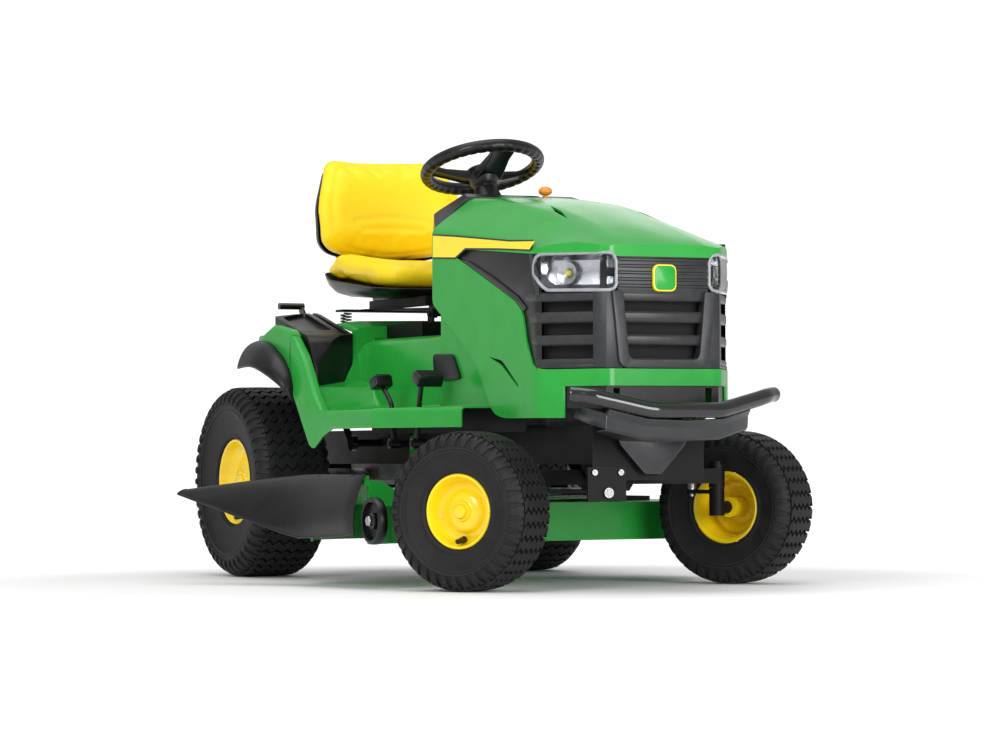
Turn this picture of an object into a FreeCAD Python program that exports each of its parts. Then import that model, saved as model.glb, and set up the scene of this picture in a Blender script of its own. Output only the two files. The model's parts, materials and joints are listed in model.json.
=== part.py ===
import FreeCAD
import Part
import math
import os

os.makedirs("parts", exist_ok=True)

# Riding lawn mower, modelled in millimetres. While modelling, +X is the machine's left side,
# -Y is forwards, +Z is up, x = 0 is the centre plane, y = 0 is the rear axle and z = 0 the ground.
# Everything is moved at the end so that the origin is the bottom centre of the bounding box.

V = FreeCAD.Vector
X_AXIS = V(1, 0, 0)
Y_AXIS = V(0, 1, 0)
Z_AXIS = V(0, 0, 1)

# ---- driving dimensions ----
GAP = 0.4                    # clearance between neighbouring pieces
FIT = 0.05                   # radial running clearance of a shaft in its bore

REAR_R = 254.0               # rear tyre radius (20 x 8 - 8)
REAR_W = 203.0
REAR_X = 393.0               # wheel centre plane
REAR_RIM_R = 115.0
FRONT_R = 190.0              # front tyre radius (15 x 6 - 6)
FRONT_W = 146.0
FRONT_RIM_R = 90.0
AXLE_Y = -1237.0             # front axle, one wheelbase ahead of the rear axle
AXLE_Z = 268.0
KINGPIN_X = 309.0
KINGPIN_R = 10.0
WHEEL_OFFSET = 96.0          # kingpin to wheel centre plane
STEER = 31.8                 # front wheels as stored, turned to the left, degrees
ARM = 70.0                   # steering arm length, kingpin to link pin
LINK_PIN_R = 6.0             # pin on the sector that both drag links hang on
LINK_PLAY = 2.0              # radial clearance of the drag links on that pin
LINK_EYE_Z = {"right": 242.0, "left": 255.0}
LINK_EYE_H = 10.0

PINION_Y = -780.0            # vertical pinion shaft
TOOTH_MODULE = 3.0
PINION_TEETH = 8
SECTOR_TEETH = 54            # teeth of the full ring that the sector is cut from
SECTOR_SPAN = 15             # teeth on the sector itself
PINION_R = TOOTH_MODULE * PINION_TEETH / 2
SECTOR_R = TOOTH_MODULE * SECTOR_TEETH / 2
SECTOR_Y = PINION_Y + SECTOR_R - PINION_R
SECTOR_Z = 276.0             # underside of the sector plate

WHEEL_C = V(0, -560, 1071)   # centre of the steering wheel
WHEEL_TILT = 18.7            # degrees, front edge up
WHEEL_R = 146.5              # rim centreline radius
WHEEL_TUBE = 17.0

RAIL_X = 150.0               # outer face of the frame rails
RAIL_Z = (300.0, 390.0)
RAIL_Y = (-1450.0, 190.0)

HOOD_X = 262.0
HOOD_WALL = 5.0
HOOD_PIVOT = (-1480.0, 510.0)
DECK_Y = -705.0              # line through the two blade spindles
DECK_BLADE_X = 262.0
DECK_R = 268.0
DECK_Z = (108.0, 203.0)
BLADE_R = 254.0
CRANK_Y = -1060.0
TUNNEL_X = (235.0, 200.0)    # tunnel half widths at the footrest and at its top
FLOOR_Z = 441.0
TUNNEL_Z = 628.0
FENDER_X = 430.0

THROTTLE_X = 62.0            # dash controls
PTO_X = -112.0
KEY_X = 116.0
SEAT_PIVOT = (-490.0, 690.0)  # seat tips forwards about this line (y, z)
LIFT_Y = -330.0              # deck lift shaft
LIFT_Z = 355.0
LIFT_R = 10.0
LIFT_ARM = 176.0
DECK_BELT_Z = 232.0
PEDAL_SHAFT_R = 8.0
PEDAL_SHAFT_Z = 352.0
DRIVE_Z = 330.0
BELT_SINK = 3.0              # how far a belt sits below the pulley's rim
HINGE = (-536.0, 268.0)      # deflector hinge line (x, z)
HINGE_LUGS = (-1010.0, -652.0)

shapes = {}


def box(x0, x1, y0, y1, z0, z1):
    return Part.makeBox(x1 - x0, y1 - y0, z1 - z0, V(x0, y0, z0))


def cyl(radius, start, end):
    start = V(*start)
    axis = V(*end) - start
    return Part.makeCylinder(radius, axis.Length, start, axis)


def ring(outer, inner, start, end):
    return cyl(outer, start, end).cut(cyl(inner, start, end))


def face(points):
    return Part.Face(Part.makePolygon([V(*p) for p in points] + [V(*points[0])]))


def prism_x(outline, x0, x1):
    """Outline of (y, z) points, extruded from x0 to x1."""
    return face([(x0, y, z) for y, z in outline]).extrude(V(x1 - x0, 0, 0))


def prism_y(outline, y0, y1):
    """Outline of (x, z) points, extruded from y0 to y1."""
    return face([(x, y0, z) for x, z in outline]).extrude(V(0, y1 - y0, 0))


def prism_z(outline, z0, z1):
    """Outline of (x, y) points, extruded from z0 to z1."""
    return face([(x, y, z0) for x, y in outline]).extrude(V(0, 0, z1 - z0))


def strip(points, wall):
    """Closed outline of a bent strip: an open line of 2-D points and its copy, one wall to the right."""
    offset = []
    last = len(points) - 1
    for i, (u, v) in enumerate(points):
        before = points[max(i - 1, 0)]
        here = (u, v)
        after = points[min(i + 1, last)]
        normals = []
        for a, b in ((before, here), (here, after)):
            length = math.hypot(b[0] - a[0], b[1] - a[1])
            if length > 0:
                normals.append(((b[1] - a[1]) / length, (a[0] - b[0]) / length))
        nu = sum(n[0] for n in normals)
        nv = sum(n[1] for n in normals)
        scale = wall * len(normals) / (nu * nu + nv * nv)
        offset.append((u + nu * scale, v + nv * scale))
    return points + offset[::-1]


def lathe(profile, centre, axis):
    """Outline of (along, radius) points, turned about an axis through the centre."""
    solid = face([(r, 0, a) for a, r in profile]).revolve(V(0, 0, 0), Z_AXIS, 360)
    placed = solid.copy()
    placed.Placement = FreeCAD.Placement(V(*centre), FreeCAD.Rotation(Z_AXIS, V(*axis)))
    return placed


def loft(sections):
    wires = [Part.makePolygon([V(*p) for p in s] + [V(*s[0])]) for s in sections]
    return Part.makeLoft(wires, True, True)


def rounded_path(points, bend):
    """Straight runs joined by tangent arcs of the bend radius."""
    points = [V(*p) for p in points]
    edges = []
    start = points[0]
    for before, corner, after in zip(points, points[1:], points[2:]):
        back = (before - corner).normalize()
        ahead = (after - corner).normalize()
        half = back.getAngle(ahead) / 2
        trim = bend / math.tan(half)
        first = corner + back * trim
        second = corner + ahead * trim
        inward = (back + ahead).normalize()
        middle = corner + inward * (bend / math.sin(half) - bend)
        edges.append(Part.LineSegment(start, first).toShape())
        edges.append(Part.Arc(first, middle, second).toShape())
        start = second
    edges.append(Part.LineSegment(start, points[-1]).toShape())
    return Part.Wire(edges)


def tube(points, radius, bend):
    path = rounded_path(points, bend)
    direction = V(*points[1]) - V(*points[0])
    section = Part.Wire(Part.makeCircle(radius, V(*points[0]), direction))
    return path.makePipeShell([section], True, True)


def fuse(pieces):
    solid = pieces[0]
    for piece in pieces[1:]:
        solid = solid.fuse(piece)
    return solid.removeSplitter()


def mirror(shape):
    return shape.mirror(V(0, 0, 0), X_AXIS)


def both_sides(shape):
    return [shape, mirror(shape)]


def turned(shape, centre, axis, degrees):
    copy = shape.copy()
    copy.rotate(V(*centre), V(*axis), degrees)
    return copy


# ---- wheels ----
def tyre(centre, radius, width, rim, axis):
    half = width / 2
    wall = 9.0
    belly = (radius + rim) / 2
    outer = [(-half * 0.72, rim), (-half, belly - 12), (-half, belly + 14), (-half * 0.86, radius - 14),
             (-half * 0.7, radius), (half * 0.7, radius), (half * 0.86, radius - 14), (half, belly + 14),
             (half, belly - 12), (half * 0.72, rim)]
    inner = [(half * 0.72 - wall, rim), (half - wall, belly - 12), (half - wall, belly + 12),
             (half * 0.7, radius - 24), (-half * 0.7, radius - 24), (-half + wall, belly + 12),
             (-half + wall, belly - 12), (-half * 0.72 + wall, rim)]
    return lathe(outer + inner, centre, axis)


def rim(centre, outer, width, hub, bore, dish, axis):
    """Drop-centre rim, pressed disc at the dish position and a hub tube, all turned."""
    half = width / 2 * 0.72
    seat = outer - GAP
    profile = [(-half, seat), (-half, seat - 14), (-half + 14, seat - 20), (dish - 4, seat - 24),
               (dish - 4, hub), (-half * 0.62, hub), (-half * 0.62, bore), (half * 0.62, bore),
               (half * 0.62, hub), (dish + 2, hub), (dish + 2, seat - 24), (half - 14, seat - 20),
               (half, seat - 14), (half, seat)]
    return lathe(profile, centre, axis)


def make_wheels():
    for side, sign in (("right", -1), ("left", 1)):
        outward = (sign, 0, 0)
        hub = (sign * REAR_X, 0, REAR_R)
        shapes["rear_tyre_" + side] = tyre(hub, REAR_R, REAR_W, REAR_RIM_R, outward)
        body = rim(hub, REAR_RIM_R, REAR_W, 28.0, 12.5 + FIT, 26.0, outward)
        shaft = cyl(12.5, (sign * 95, 0, REAR_R), (sign * (REAR_X + 52), 0, REAR_R))
        shapes["rear_rim_" + side] = Part.makeCompound([body, shaft])

        centre = (sign * (KINGPIN_X + WHEEL_OFFSET), AXLE_Y, FRONT_R)
        pin = (sign * KINGPIN_X, AXLE_Y, 0)
        flat = tyre(centre, FRONT_R, FRONT_W, FRONT_RIM_R, outward)
        shapes["front_tyre_" + side] = turned(flat, pin, Z_AXIS, STEER)
        body = rim(centre, FRONT_RIM_R, FRONT_W, 22.0, 9.5 + FIT, 16.0, outward)
        shapes["front_rim_" + side] = turned(body, pin, Z_AXIS, STEER)


# ---- steering ----
def make_front_axle():
    beam = fuse([
        box(-KINGPIN_X, KINGPIN_X, AXLE_Y - 20, AXLE_Y + 20, AXLE_Z - 18, AXLE_Z + 18),
        cyl(26, (0, AXLE_Y - 24, AXLE_Z), (0, AXLE_Y + 24, AXLE_Z)),
        cyl(20, (-KINGPIN_X, AXLE_Y, AXLE_Z - 28), (-KINGPIN_X, AXLE_Y, AXLE_Z + 28)),
        cyl(20, (KINGPIN_X, AXLE_Y, AXLE_Z - 28), (KINGPIN_X, AXLE_Y, AXLE_Z + 28)),
    ])
    beam = beam.cut(cyl(10 + FIT, (0, AXLE_Y - 40, AXLE_Z), (0, AXLE_Y + 40, AXLE_Z)))
    for x in (-KINGPIN_X, KINGPIN_X):
        beam = beam.cut(cyl(KINGPIN_R + FIT, (x, AXLE_Y, 200), (x, AXLE_Y, 340)))
    shapes["front_axle"] = beam


def make_knuckles():
    low = AXLE_Z - 28
    for side, sign in (("right", -1), ("left", 1)):
        x = sign * KINGPIN_X
        pin = cyl(KINGPIN_R, (x, AXLE_Y, FRONT_R - 14), (x, AXLE_Y, AXLE_Z + 34))
        cap = cyl(15, (x, AXLE_Y, AXLE_Z + 28 + GAP), (x, AXLE_Y, AXLE_Z + 36))
        collar = cyl(19, (x, AXLE_Y, FRONT_R - 20), (x, AXLE_Y, low - GAP))
        spindle = cyl(9.5, (x, AXLE_Y, FRONT_R), (x + sign * (WHEEL_OFFSET + 44), AXLE_Y, FRONT_R))
        washer = cyl(16, (x + sign * 138.5, AXLE_Y, FRONT_R), (x + sign * 144, AXLE_Y, FRONT_R))
        boss = cyl(16, (x, AXLE_Y, FRONT_R), (x + sign * 50, AXLE_Y, FRONT_R))
        arm_z = low - 16
        arm = box(x - 11, x + 11, AXLE_Y, AXLE_Y + ARM, arm_z, arm_z + 10)
        eye = cyl(13, (x, AXLE_Y + ARM, arm_z), (x, AXLE_Y + ARM, arm_z + 10))
        body = fuse([pin, cap, collar, boss, spindle, washer, arm, eye])
        body = body.cut(cyl(6 + FIT, (x, AXLE_Y + ARM, 200), (x, AXLE_Y + ARM, 260)))
        shapes["knuckle_" + side] = turned(body, (x, AXLE_Y, 0), Z_AXIS, STEER)


def arm_offset():
    """Where a steering arm's pin lies from its pivot, as stored."""
    angle = math.radians(STEER)
    return -ARM * math.sin(angle), ARM * math.cos(angle)


def make_drag_links():
    dx, dy = arm_offset()
    knuckle_z = AXLE_Z - 28 - 16
    for side, sign in (("right", -1), ("left", 1)):
        inner = (dx, SECTOR_Y + dy)
        outer = (sign * KINGPIN_X + dx, AXLE_Y + dy)
        eye_z = LINK_EYE_Z[side]
        high = eye_z + LINK_EYE_H / 2
        low = knuckle_z + 34
        rod = tube([(inner[0], inner[1], high), (outer[0], outer[1], low)], 5, 10)
        inner_eye = cyl(14, (inner[0], inner[1], eye_z), (inner[0], inner[1], eye_z + LINK_EYE_H))
        outer_eye = cyl(11, (outer[0], outer[1], knuckle_z + 12), (outer[0], outer[1], low + 8))
        outer_pin = cyl(6, (outer[0], outer[1], knuckle_z - 6), (outer[0], outer[1], low))
        link = fuse([rod, inner_eye, outer_eye, outer_pin])
        bore = cyl(LINK_PIN_R + LINK_PLAY, (inner[0], inner[1], eye_z - 20), (inner[0], inner[1], eye_z + 30))
        shapes["drag_link_" + side] = link.cut(bore)


def toothed(count, teeth, tip, root):
    """Radius and angle points of straight-flanked teeth centred on angle 0."""
    pitch = 2 * math.pi / count
    points = []
    for k in range(teeth):
        middle = (k - (teeth - 1) / 2) * pitch
        for half, r in ((0.30, root), (0.14, tip), (-0.14, tip), (-0.30, root)):
            points.append((r, middle - half * pitch))
    return points


def make_pinion_and_sector():
    ratio = SECTOR_TEETH / PINION_TEETH
    top = SECTOR_Z + 9
    teeth = toothed(PINION_TEETH, PINION_TEETH, PINION_R + 2.2, PINION_R - 3.2)
    start = -math.pi / 2
    outline = [(r * math.cos(a + start), PINION_Y + r * math.sin(a + start)) for r, a in teeth]
    gear = prism_z(outline, SECTOR_Z - 2, top)
    shaft = cyl(8, (0, PINION_Y, SECTOR_Z + 4), (0, PINION_Y, 424))
    collar = cyl(14, (0, PINION_Y, 310), (0, PINION_Y, 326))
    pinion = fuse([gear, shaft, collar])
    shapes["pinion_shaft"] = turned(pinion, (0, PINION_Y, 0), Z_AXIS, STEER * ratio)

    teeth = toothed(SECTOR_TEETH, SECTOR_SPAN, SECTOR_R - 2.2, SECTOR_R + 3.2)
    edge_angle = SECTOR_SPAN * math.pi / SECTOR_TEETH + 0.16
    window_angle = edge_angle - 0.09
    teeth = [(SECTOR_R + 3.2, -window_angle)] + teeth + [(SECTOR_R + 3.2, window_angle)]
    inner_edge = [(r * math.cos(a + start), SECTOR_Y + r * math.sin(a + start)) for r, a in teeth]
    outer_edge = []
    for i in range(17):
        a = start - edge_angle + i * edge_angle / 8
        outer_edge.append(((SECTOR_R + 16) * math.cos(a), SECTOR_Y + (SECTOR_R + 16) * math.sin(a)))
    window_r = SECTOR_R - 2 * PINION_R - 6
    plate = prism_z([(0, SECTOR_Y + 24)] + outer_edge, SECTOR_Z, SECTOR_Z + 6)
    window = []
    for i in range(13):
        a = start - window_angle + i * window_angle / 6
        window.append((window_r * math.cos(a), SECTOR_Y + window_r * math.sin(a)))
    cut_out = prism_z(window + inner_edge[::-1], SECTOR_Z - 5, SECTOR_Z + 12)
    arm = box(-16, 16, SECTOR_Y, SECTOR_Y + ARM + 16, SECTOR_Z, SECTOR_Z + 6)
    link_pin = cyl(LINK_PIN_R, (0, SECTOR_Y + ARM, 239), (0, SECTOR_Y + ARM, SECTOR_Z + 6))
    hub = cyl(24, (0, SECTOR_Y, SECTOR_Z), (0, SECTOR_Y, SECTOR_Z + 18))
    sector = fuse([plate.cut(cut_out), arm, hub, link_pin])
    sector = sector.cut(cyl(9 + FIT, (0, SECTOR_Y, 200), (0, SECTOR_Y, 340)))
    shapes["sector_gear"] = turned(sector, (0, SECTOR_Y, 0), Z_AXIS, STEER)


def wheel_point(across, along, up):
    """A point in the tilted plane of the steering wheel."""
    tilt = math.radians(WHEEL_TILT)
    return WHEEL_C + V(across, along * math.cos(tilt) + up * math.sin(tilt),
                       -along * math.sin(tilt) + up * math.cos(tilt))


def make_steering_wheel():
    rim_ring = Part.makeTorus(WHEEL_R, WHEEL_TUBE)
    hub = Part.makeCone(46, 34, 46, V(0, 0, -52))
    bore = cyl(9 + FIT, (0, 0, -80), (0, 0, -14))
    spokes = []
    for angle, width in ((-90, 62), (35, 30), (145, 30)):
        spoke = loft([
            [(20, -width * 0.5, -34), (20, width * 0.5, -34), (20, width * 0.5, -12), (20, -width * 0.5, -12)],
            [(WHEEL_R - 2, -width * 0.4, -8), (WHEEL_R - 2, width * 0.4, -8),
             (WHEEL_R - 2, width * 0.4, 6), (WHEEL_R - 2, -width * 0.4, 6)],
        ])
        spokes.append(turned(spoke, (0, 0, 0), Z_AXIS, angle))
    wheel = fuse([rim_ring, hub] + spokes).cut(bore)
    tilt = FreeCAD.Rotation(X_AXIS, -WHEEL_TILT)
    wheel.Placement = FreeCAD.Placement(WHEEL_C, tilt)
    shapes["steering_wheel"] = wheel


def make_steering_shafts():
    top = wheel_point(0, 0, -15)
    drop = (WHEEL_C - V(0, PINION_Y, 0)).y / math.sin(math.radians(WHEEL_TILT))
    joint = wheel_point(0, 0, -drop + 16)
    shaft = cyl(9, top, joint)
    yoke = cyl(17, wheel_point(0, 0, -drop + 40), joint)
    shapes["steering_shaft"] = fuse([shaft, yoke])
    outer = cyl(26, wheel_point(0, 0, -150), wheel_point(0, 0, -drop + 130))
    base = box(-60, 60, -800, -640, 560, 566)
    leg = box(-40, 40, -646, -640, RAIL_Z[0] + 4 + GAP, 562)
    column = fuse([outer, base, leg]).cut(cyl(9 + 2, wheel_point(0, 0, 0), wheel_point(0, 0, -800)))
    shapes["steering_column"] = column


# ---- frame ----
def make_frame():
    wall = 4.0
    flange = 30.0
    z0, z1 = RAIL_Z
    channel = [(-RAIL_X, z0), (-RAIL_X + flange, z0), (-RAIL_X + flange, z0 + wall), (-RAIL_X + wall, z0 + wall),
               (-RAIL_X + wall, z1 - wall), (-RAIL_X + flange, z1 - wall), (-RAIL_X + flange, z1), (-RAIL_X, z1)]
    rail = prism_y(channel, *RAIL_Y)
    inside = RAIL_X - wall / 2
    pieces = both_sides(rail)
    pieces.append(box(-RAIL_X, RAIL_X, RAIL_Y[0] - wall, RAIL_Y[0], 262, z1))
    pieces.append(box(-RAIL_X, RAIL_X, RAIL_Y[1], RAIL_Y[1] + wall, 236, z1))
    pieces.append(box(-90, 90, RAIL_Y[1] - 60, RAIL_Y[1] + 55, 262, 268))
    pieces.append(box(-inside, inside, -860, -640, z0, z0 + wall))
    pieces.append(box(-inside, inside, -1410, -1000, z1 - wall, z1))
    pieces.append(box(-inside, inside, -990, -860, z1 - wall, z1))
    pieces.append(box(-inside, inside, -350, -150, z1 - wall, z1))
    pieces.append(cyl(9, (0, SECTOR_Y, SECTOR_Z - 4.5), (0, SECTOR_Y, z0 + wall)))
    pieces.append(cyl(16, (0, SECTOR_Y, SECTOR_Z - 4.5), (0, SECTOR_Y, SECTOR_Z - GAP)))
    for y in (AXLE_Y - 34, AXLE_Y + 28):
        pieces.append(prism_y([(-110, z0), (110, z0), (110, z1), (-110, z1)], y, y + 6))
        pieces.append(prism_y([(-90, z0 + 2), (90, z0 + 2), (46, AXLE_Z - 34), (-46, AXLE_Z - 34)], y, y + 6))
        pieces.append(box(-inside, -100, y, y + 6, z0, z1))
        pieces.append(box(100, inside, y, y + 6, z0, z1))
    pieces.append(cyl(10, (0, AXLE_Y - 36, AXLE_Z), (0, AXLE_Y + 36, AXLE_Z)))
    pieces.append(box(-166, -64, RAIL_Y[0] - 10, RAIL_Y[0] - 3, 212, 292))
    ear = prism_x([(-1454, 300), (-1450, 300), (-1450, 392), (-1472, 516), (-1488, 516), (-1488, 504), (-1454, 392)],
                  120, 126)
    pieces += both_sides(ear)
    pieces += both_sides(cyl(6, (114, HOOD_PIVOT[0], HOOD_PIVOT[1]), (133, HOOD_PIVOT[0], HOOD_PIVOT[1])))
    frame = fuse(pieces)
    frame = frame.cut(cyl(8 + FIT, (0, PINION_Y, 290), (0, PINION_Y, 310)))
    frame = frame.cut(cyl(9.5, (0, RAIL_Y[1] + 36, 250), (0, RAIL_Y[1] + 36, 280)))
    frame = frame.cut(cyl(30, (0, CRANK_Y, 380), (0, CRANK_Y, 400)))
    frame = frame.cut(cyl(LIFT_R + FIT, (-200, LIFT_Y, LIFT_Z), (200, LIFT_Y, LIFT_Z)))
    pedal_shafts = []
    for y, x0, x1 in ((-852, -345, 345), (-718, -345, -110)):
        pedal_shafts.append(cyl(PEDAL_SHAFT_R, (x0, y, PEDAL_SHAFT_Z), (x1, y, PEDAL_SHAFT_Z)))
        frame = frame.cut(cyl(PEDAL_SHAFT_R + FIT, (x0 - 1, y, PEDAL_SHAFT_Z), (x1 + 1, y, PEDAL_SHAFT_Z)))
    shapes["frame"] = Part.makeCompound([frame] + pedal_shafts)


def make_bumper():
    z = 459.0
    path = [(-286, -1563, z + 2), (-214, -1604, z - 2), (-92, -1640, 425), (92, -1640, 425),
            (214, -1604, z - 2), (286, -1563, z + 2)]
    bar = tube(path, 20.5, 60)
    shapes["bumper_tube"] = bar
    line = [(-228, -1592), (-92, -1634), (92, -1634), (228, -1592)]
    skirt = prism_z(strip(line, 4), 353, 460)
    over = [(-300, 439), (-222, 435), (-100, 402), (100, 402), (222, 435), (300, 439), (300, 600), (-300, 600)]
    skirt = skirt.cut(prism_y(over, -1700, -1500))
    base = strip([(-1462, 290), (-1500, 290), (-1632, 355)], 4)
    plate = prism_x(base, -130, 130)
    shape_v = prism_z([(-88, -1660), (88, -1660), (76, -1440), (-76, -1440)], 200, 400)
    top = prism_z([(-222, -1591), (-91, -1632), (91, -1632), (222, -1591), (110, -1454.5), (-110, -1454.5)], 392, 396)
    shapes["bumper_bracket"] = Part.makeCompound([skirt, plate.common(shape_v), top])


# ---- engine and drive ----
def make_engine():
    base_z = RAIL_Z[1] + GAP
    crankcase = fuse([
        box(-130, 130, -1180, -995, base_z, base_z + 20),
        box(-105, 105, CRANK_Y - 105, CRANK_Y + 55, base_z + 20, base_z + 150),
        box(-150, -40, CRANK_Y - 250, CRANK_Y - 90, base_z + 50, base_z + 150),
        box(40, 150, CRANK_Y - 250, CRANK_Y - 90, base_z + 50, base_z + 150),
    ])
    crankcase = crankcase.cut(cyl(26, (0, CRANK_Y, base_z - 2), (0, CRANK_Y, base_z + 60)))
    cover_z = base_z + 150 + GAP
    shroud = cyl(150, (0, CRANK_Y - 60, cover_z), (0, CRANK_Y - 60, cover_z + 110))
    shroud = shroud.cut(cyl(144, (0, CRANK_Y - 60, cover_z - 1), (0, CRANK_Y - 60, cover_z + 104)))
    shroud = shroud.cut(box(-200, 200, CRANK_Y + 60, CRANK_Y + 200, cover_z - 5, cover_z + 200))
    filter_box = box(-90, 90, CRANK_Y - 190, CRANK_Y - 30, cover_z + 110 + GAP, cover_z + 165)
    muffler = cyl(48, (-150, CRANK_Y - 330, base_z + 84), (150, CRANK_Y - 330, base_z + 84))
    shapes["engine"] = Part.makeCompound([crankcase, shroud, filter_box, muffler])


def pulley(radius, z0, z1, x, y):
    half = (z1 - z0) / 2
    return lathe([(-half, 0), (-half, radius), (-half + 3, radius), (-1, radius - 10), (1, radius - 10),
                  (half - 3, radius), (half, radius), (half, 0)], (x, y, (z0 + z1) / 2), (0, 0, 1))


def make_drive():
    shaft = cyl(12.7, (0, CRANK_Y, 218), (0, CRANK_Y, 440))
    upper = pulley(52, DRIVE_Z - 9, DRIVE_Z + 9, 0, CRANK_Y)
    lower = pulley(60, DECK_BELT_Z - 9, DECK_BELT_Z + 9, 0, CRANK_Y)
    shapes["crank_pulley"] = fuse([shaft, upper, lower])

    case = fuse([
        box(-88, 88, -95, 92, 178, 300),
        cyl(34, (-88, 0, REAR_R), (-240, 0, REAR_R)),
        cyl(34, (88, 0, REAR_R), (240, 0, REAR_R)),
        cyl(46, (0, -40, 299), (0, -40, 308)),
    ])
    for sign in (-1, 1):
        case = case.cut(cyl(12.5 + FIT, (sign * 94, 0, REAR_R), (sign * 300, 0, REAR_R)))
    case = case.cut(cyl(10 + FIT, (0, -40, 250), (0, -40, 320)))
    shapes["transaxle"] = case
    shapes["transaxle_pulley"] = fuse([
        cyl(10, (0, -40, 252), (0, -40, DRIVE_Z + 6)),
        pulley(70, DRIVE_Z - 9, DRIVE_Z + 9, 0, -40),
        cyl(40, (0, -40, DRIVE_Z + 8), (0, -40, DRIVE_Z + 22)),
    ])
    shapes["drive_belt"] = belt([(0, CRANK_Y, 52 - BELT_SINK), (0, -40, 70 - BELT_SINK)], DRIVE_Z)


def belt(wheels, z):
    """V-belt loop round wheels given as (x, y, running radius); a plain closed band."""
    def loop(extra, height):
        discs = []
        for x, y, r in wheels:
            discs.append(cyl(r + extra, (x, y, z - height), (x, y, z + height)))
        hulls = []
        count = len(wheels)
        for i in range(count):
            x0, y0, r0 = wheels[i]
            x1, y1, r1 = wheels[(i + 1) % count]
            r0 += extra
            r1 += extra
            dx, dy = x1 - x0, y1 - y0
            length = math.hypot(dx, dy)
            base = math.atan2(dy, dx)
            lean = math.acos((r0 - r1) / length)
            corners = []
            for r, x, y, sign in ((r0, x0, y0, 1), (r1, x1, y1, 1), (r1, x1, y1, -1), (r0, x0, y0, -1)):
                a = base + sign * lean
                corners.append((x + r * math.cos(a), y + r * math.sin(a)))
            hulls.append(prism_z(corners, z - height, z + height))
        if count > 2:
            hulls.append(prism_z([(x, y) for x, y, r in wheels], z - height, z + height))
        return fuse(discs + hulls)
    return loop(9, 4).cut(loop(GAP, 6))


# ---- body panels ----
def make_fender_deck():
    wall = 5.0
    rear = 60.0
    top_line = [(rear, 662), (-200, 668), (-262, 655), (-330, 600), (-385, 505), (-440, FLOOR_Z), (-1150, FLOOR_Z)]
    side_panel = [(rear - 150, 640), (-176, 671), (-260, 655), (-310, 628), (-365, 580), (-420, 500),
                  (-470, FLOOR_Z), (-800, FLOOR_Z), (-800, 391), (-560, 391), (-500, 372), (-445, 342),
                  (-418, 342), (-359, 416), (-309, 480), (-230, 560), (-150, 590), (-92, 590)]
    tunnel_x, top_x = TUNNEL_X
    pieces = []
    panel = prism_x(strip(top_line, wall), -FENDER_X, -tunnel_x)
    rounded_rear = prism_z([(-FENDER_X, -92), (-310, rear), (-200, rear + 1), (-200, -1160), (-335, -1160),
                            (-FENDER_X, -796)], 300, 720)
    panel = panel.common(rounded_rear)
    pieces += both_sides(panel)
    pieces += both_sides(prism_x(side_panel, -FENDER_X, -FENDER_X + wall))
    skirt_front = strip([(-335, -1150), (-FENDER_X, -798)], wall)
    pieces += both_sides(prism_z(skirt_front, 391, FLOOR_Z))
    wall_line = [(-tunnel_x, -1150), (-tunnel_x, rear)]
    pieces += both_sides(prism_z(strip(wall_line, wall), FLOOR_Z - wall, 500))
    section = [(-tunnel_x, 500 - wall), (-top_x - 12, 618), (-top_x + 4, TUNNEL_Z), (0, TUNNEL_Z + 3),
               (top_x - 4, TUNNEL_Z), (top_x + 12, 618), (tunnel_x, 500 - wall)]
    pieces.append(prism_y(strip(section, wall), -800, -262))
    raised = [(-tunnel_x, 500 - wall), (-tunnel_x, 655), (-top_x, 668), (top_x, 668), (tunnel_x, 655),
              (tunnel_x, 500 - wall)]
    pieces.append(prism_y(strip(raised, wall), -262, rear))
    bulkhead = prism_y(strip(raised, wall), -264, -259)
    step = prism_y([(-tunnel_x, 600), (-tunnel_x, 655), (-top_x, 668), (top_x, 668), (tunnel_x, 655),
                    (tunnel_x, 600)], -264, -259)
    pieces += [bulkhead, step]
    shroud = prism_x([(-804, FLOOR_Z), (-804, 790), (-850, 790), (-1080, 560), (-1150, 470), (-1150, FLOOR_Z)],
                     -tunnel_x - wall, -tunnel_x)
    shroud = shroud.common(box(-tunnel_x - wall, -tunnel_x, -1160, -790, 400, 800))
    pieces += both_sides(shroud)
    pieces.append(box(-tunnel_x, tunnel_x, -800, -795, 600, 699))
    pieces += both_sides(box(-tunnel_x - wall, -tunnel_x, -806, -795, FLOOR_Z, 699))
    deck = fuse(pieces)
    # openings for the side consoles, the pedals and the steering column
    for sign in (-1, 1):
        x0, x1 = sorted((sign * 249.6, sign * 398.4))
        deck = deck.cut(box(x0, x1, -392, 50.4, 500, 760))
    deck = deck.cut(box(-345, -312, -915, -835, 420, 460))
    deck = deck.cut(box(-345, -312, -735, -655, 420, 460))
    deck = deck.cut(box(312, 345, -915, -835, 420, 460))
    deck = deck.cut(box(-60, 60, -796, -640, 600, 640))
    deck = deck.cut(filler_neck(24, (187, -150, 560)))
    # the hood's side panels hang past the front of the footrests
    for sign in (-1, 1):
        x0, x1 = sorted((sign * 255, sign * 264))
        deck = deck.cut(box(x0, x1, -1165, -1120, 380, 450))
    shapes["fender_deck"] = deck


def make_flares():
    line = [(-96, 572), (-140, 606), (-198, 625), (-262, 612), (-330, 560), (-382, 500), (-403, 478)]
    flare = prism_x(strip(line, 4), -500, -FENDER_X - GAP)
    lip = prism_x(strip([(-96, 562), (-96, 572), (-140, 606), (-198, 625), (-262, 612), (-330, 560),
                         (-382, 500), (-403, 470)], 4), -500, -496)
    root = [(-96, 556), (-96, 572), (-140, 606), (-198, 625), (-262, 612), (-330, 560), (-382, 500), (-403, 474)]
    web = prism_x(strip(root, 12), -FENDER_X - GAP - 4, -FENDER_X - GAP)
    shapes["fender_flares"] = Part.makeCompound(both_sides(fuse([flare, lip, web])))


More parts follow.
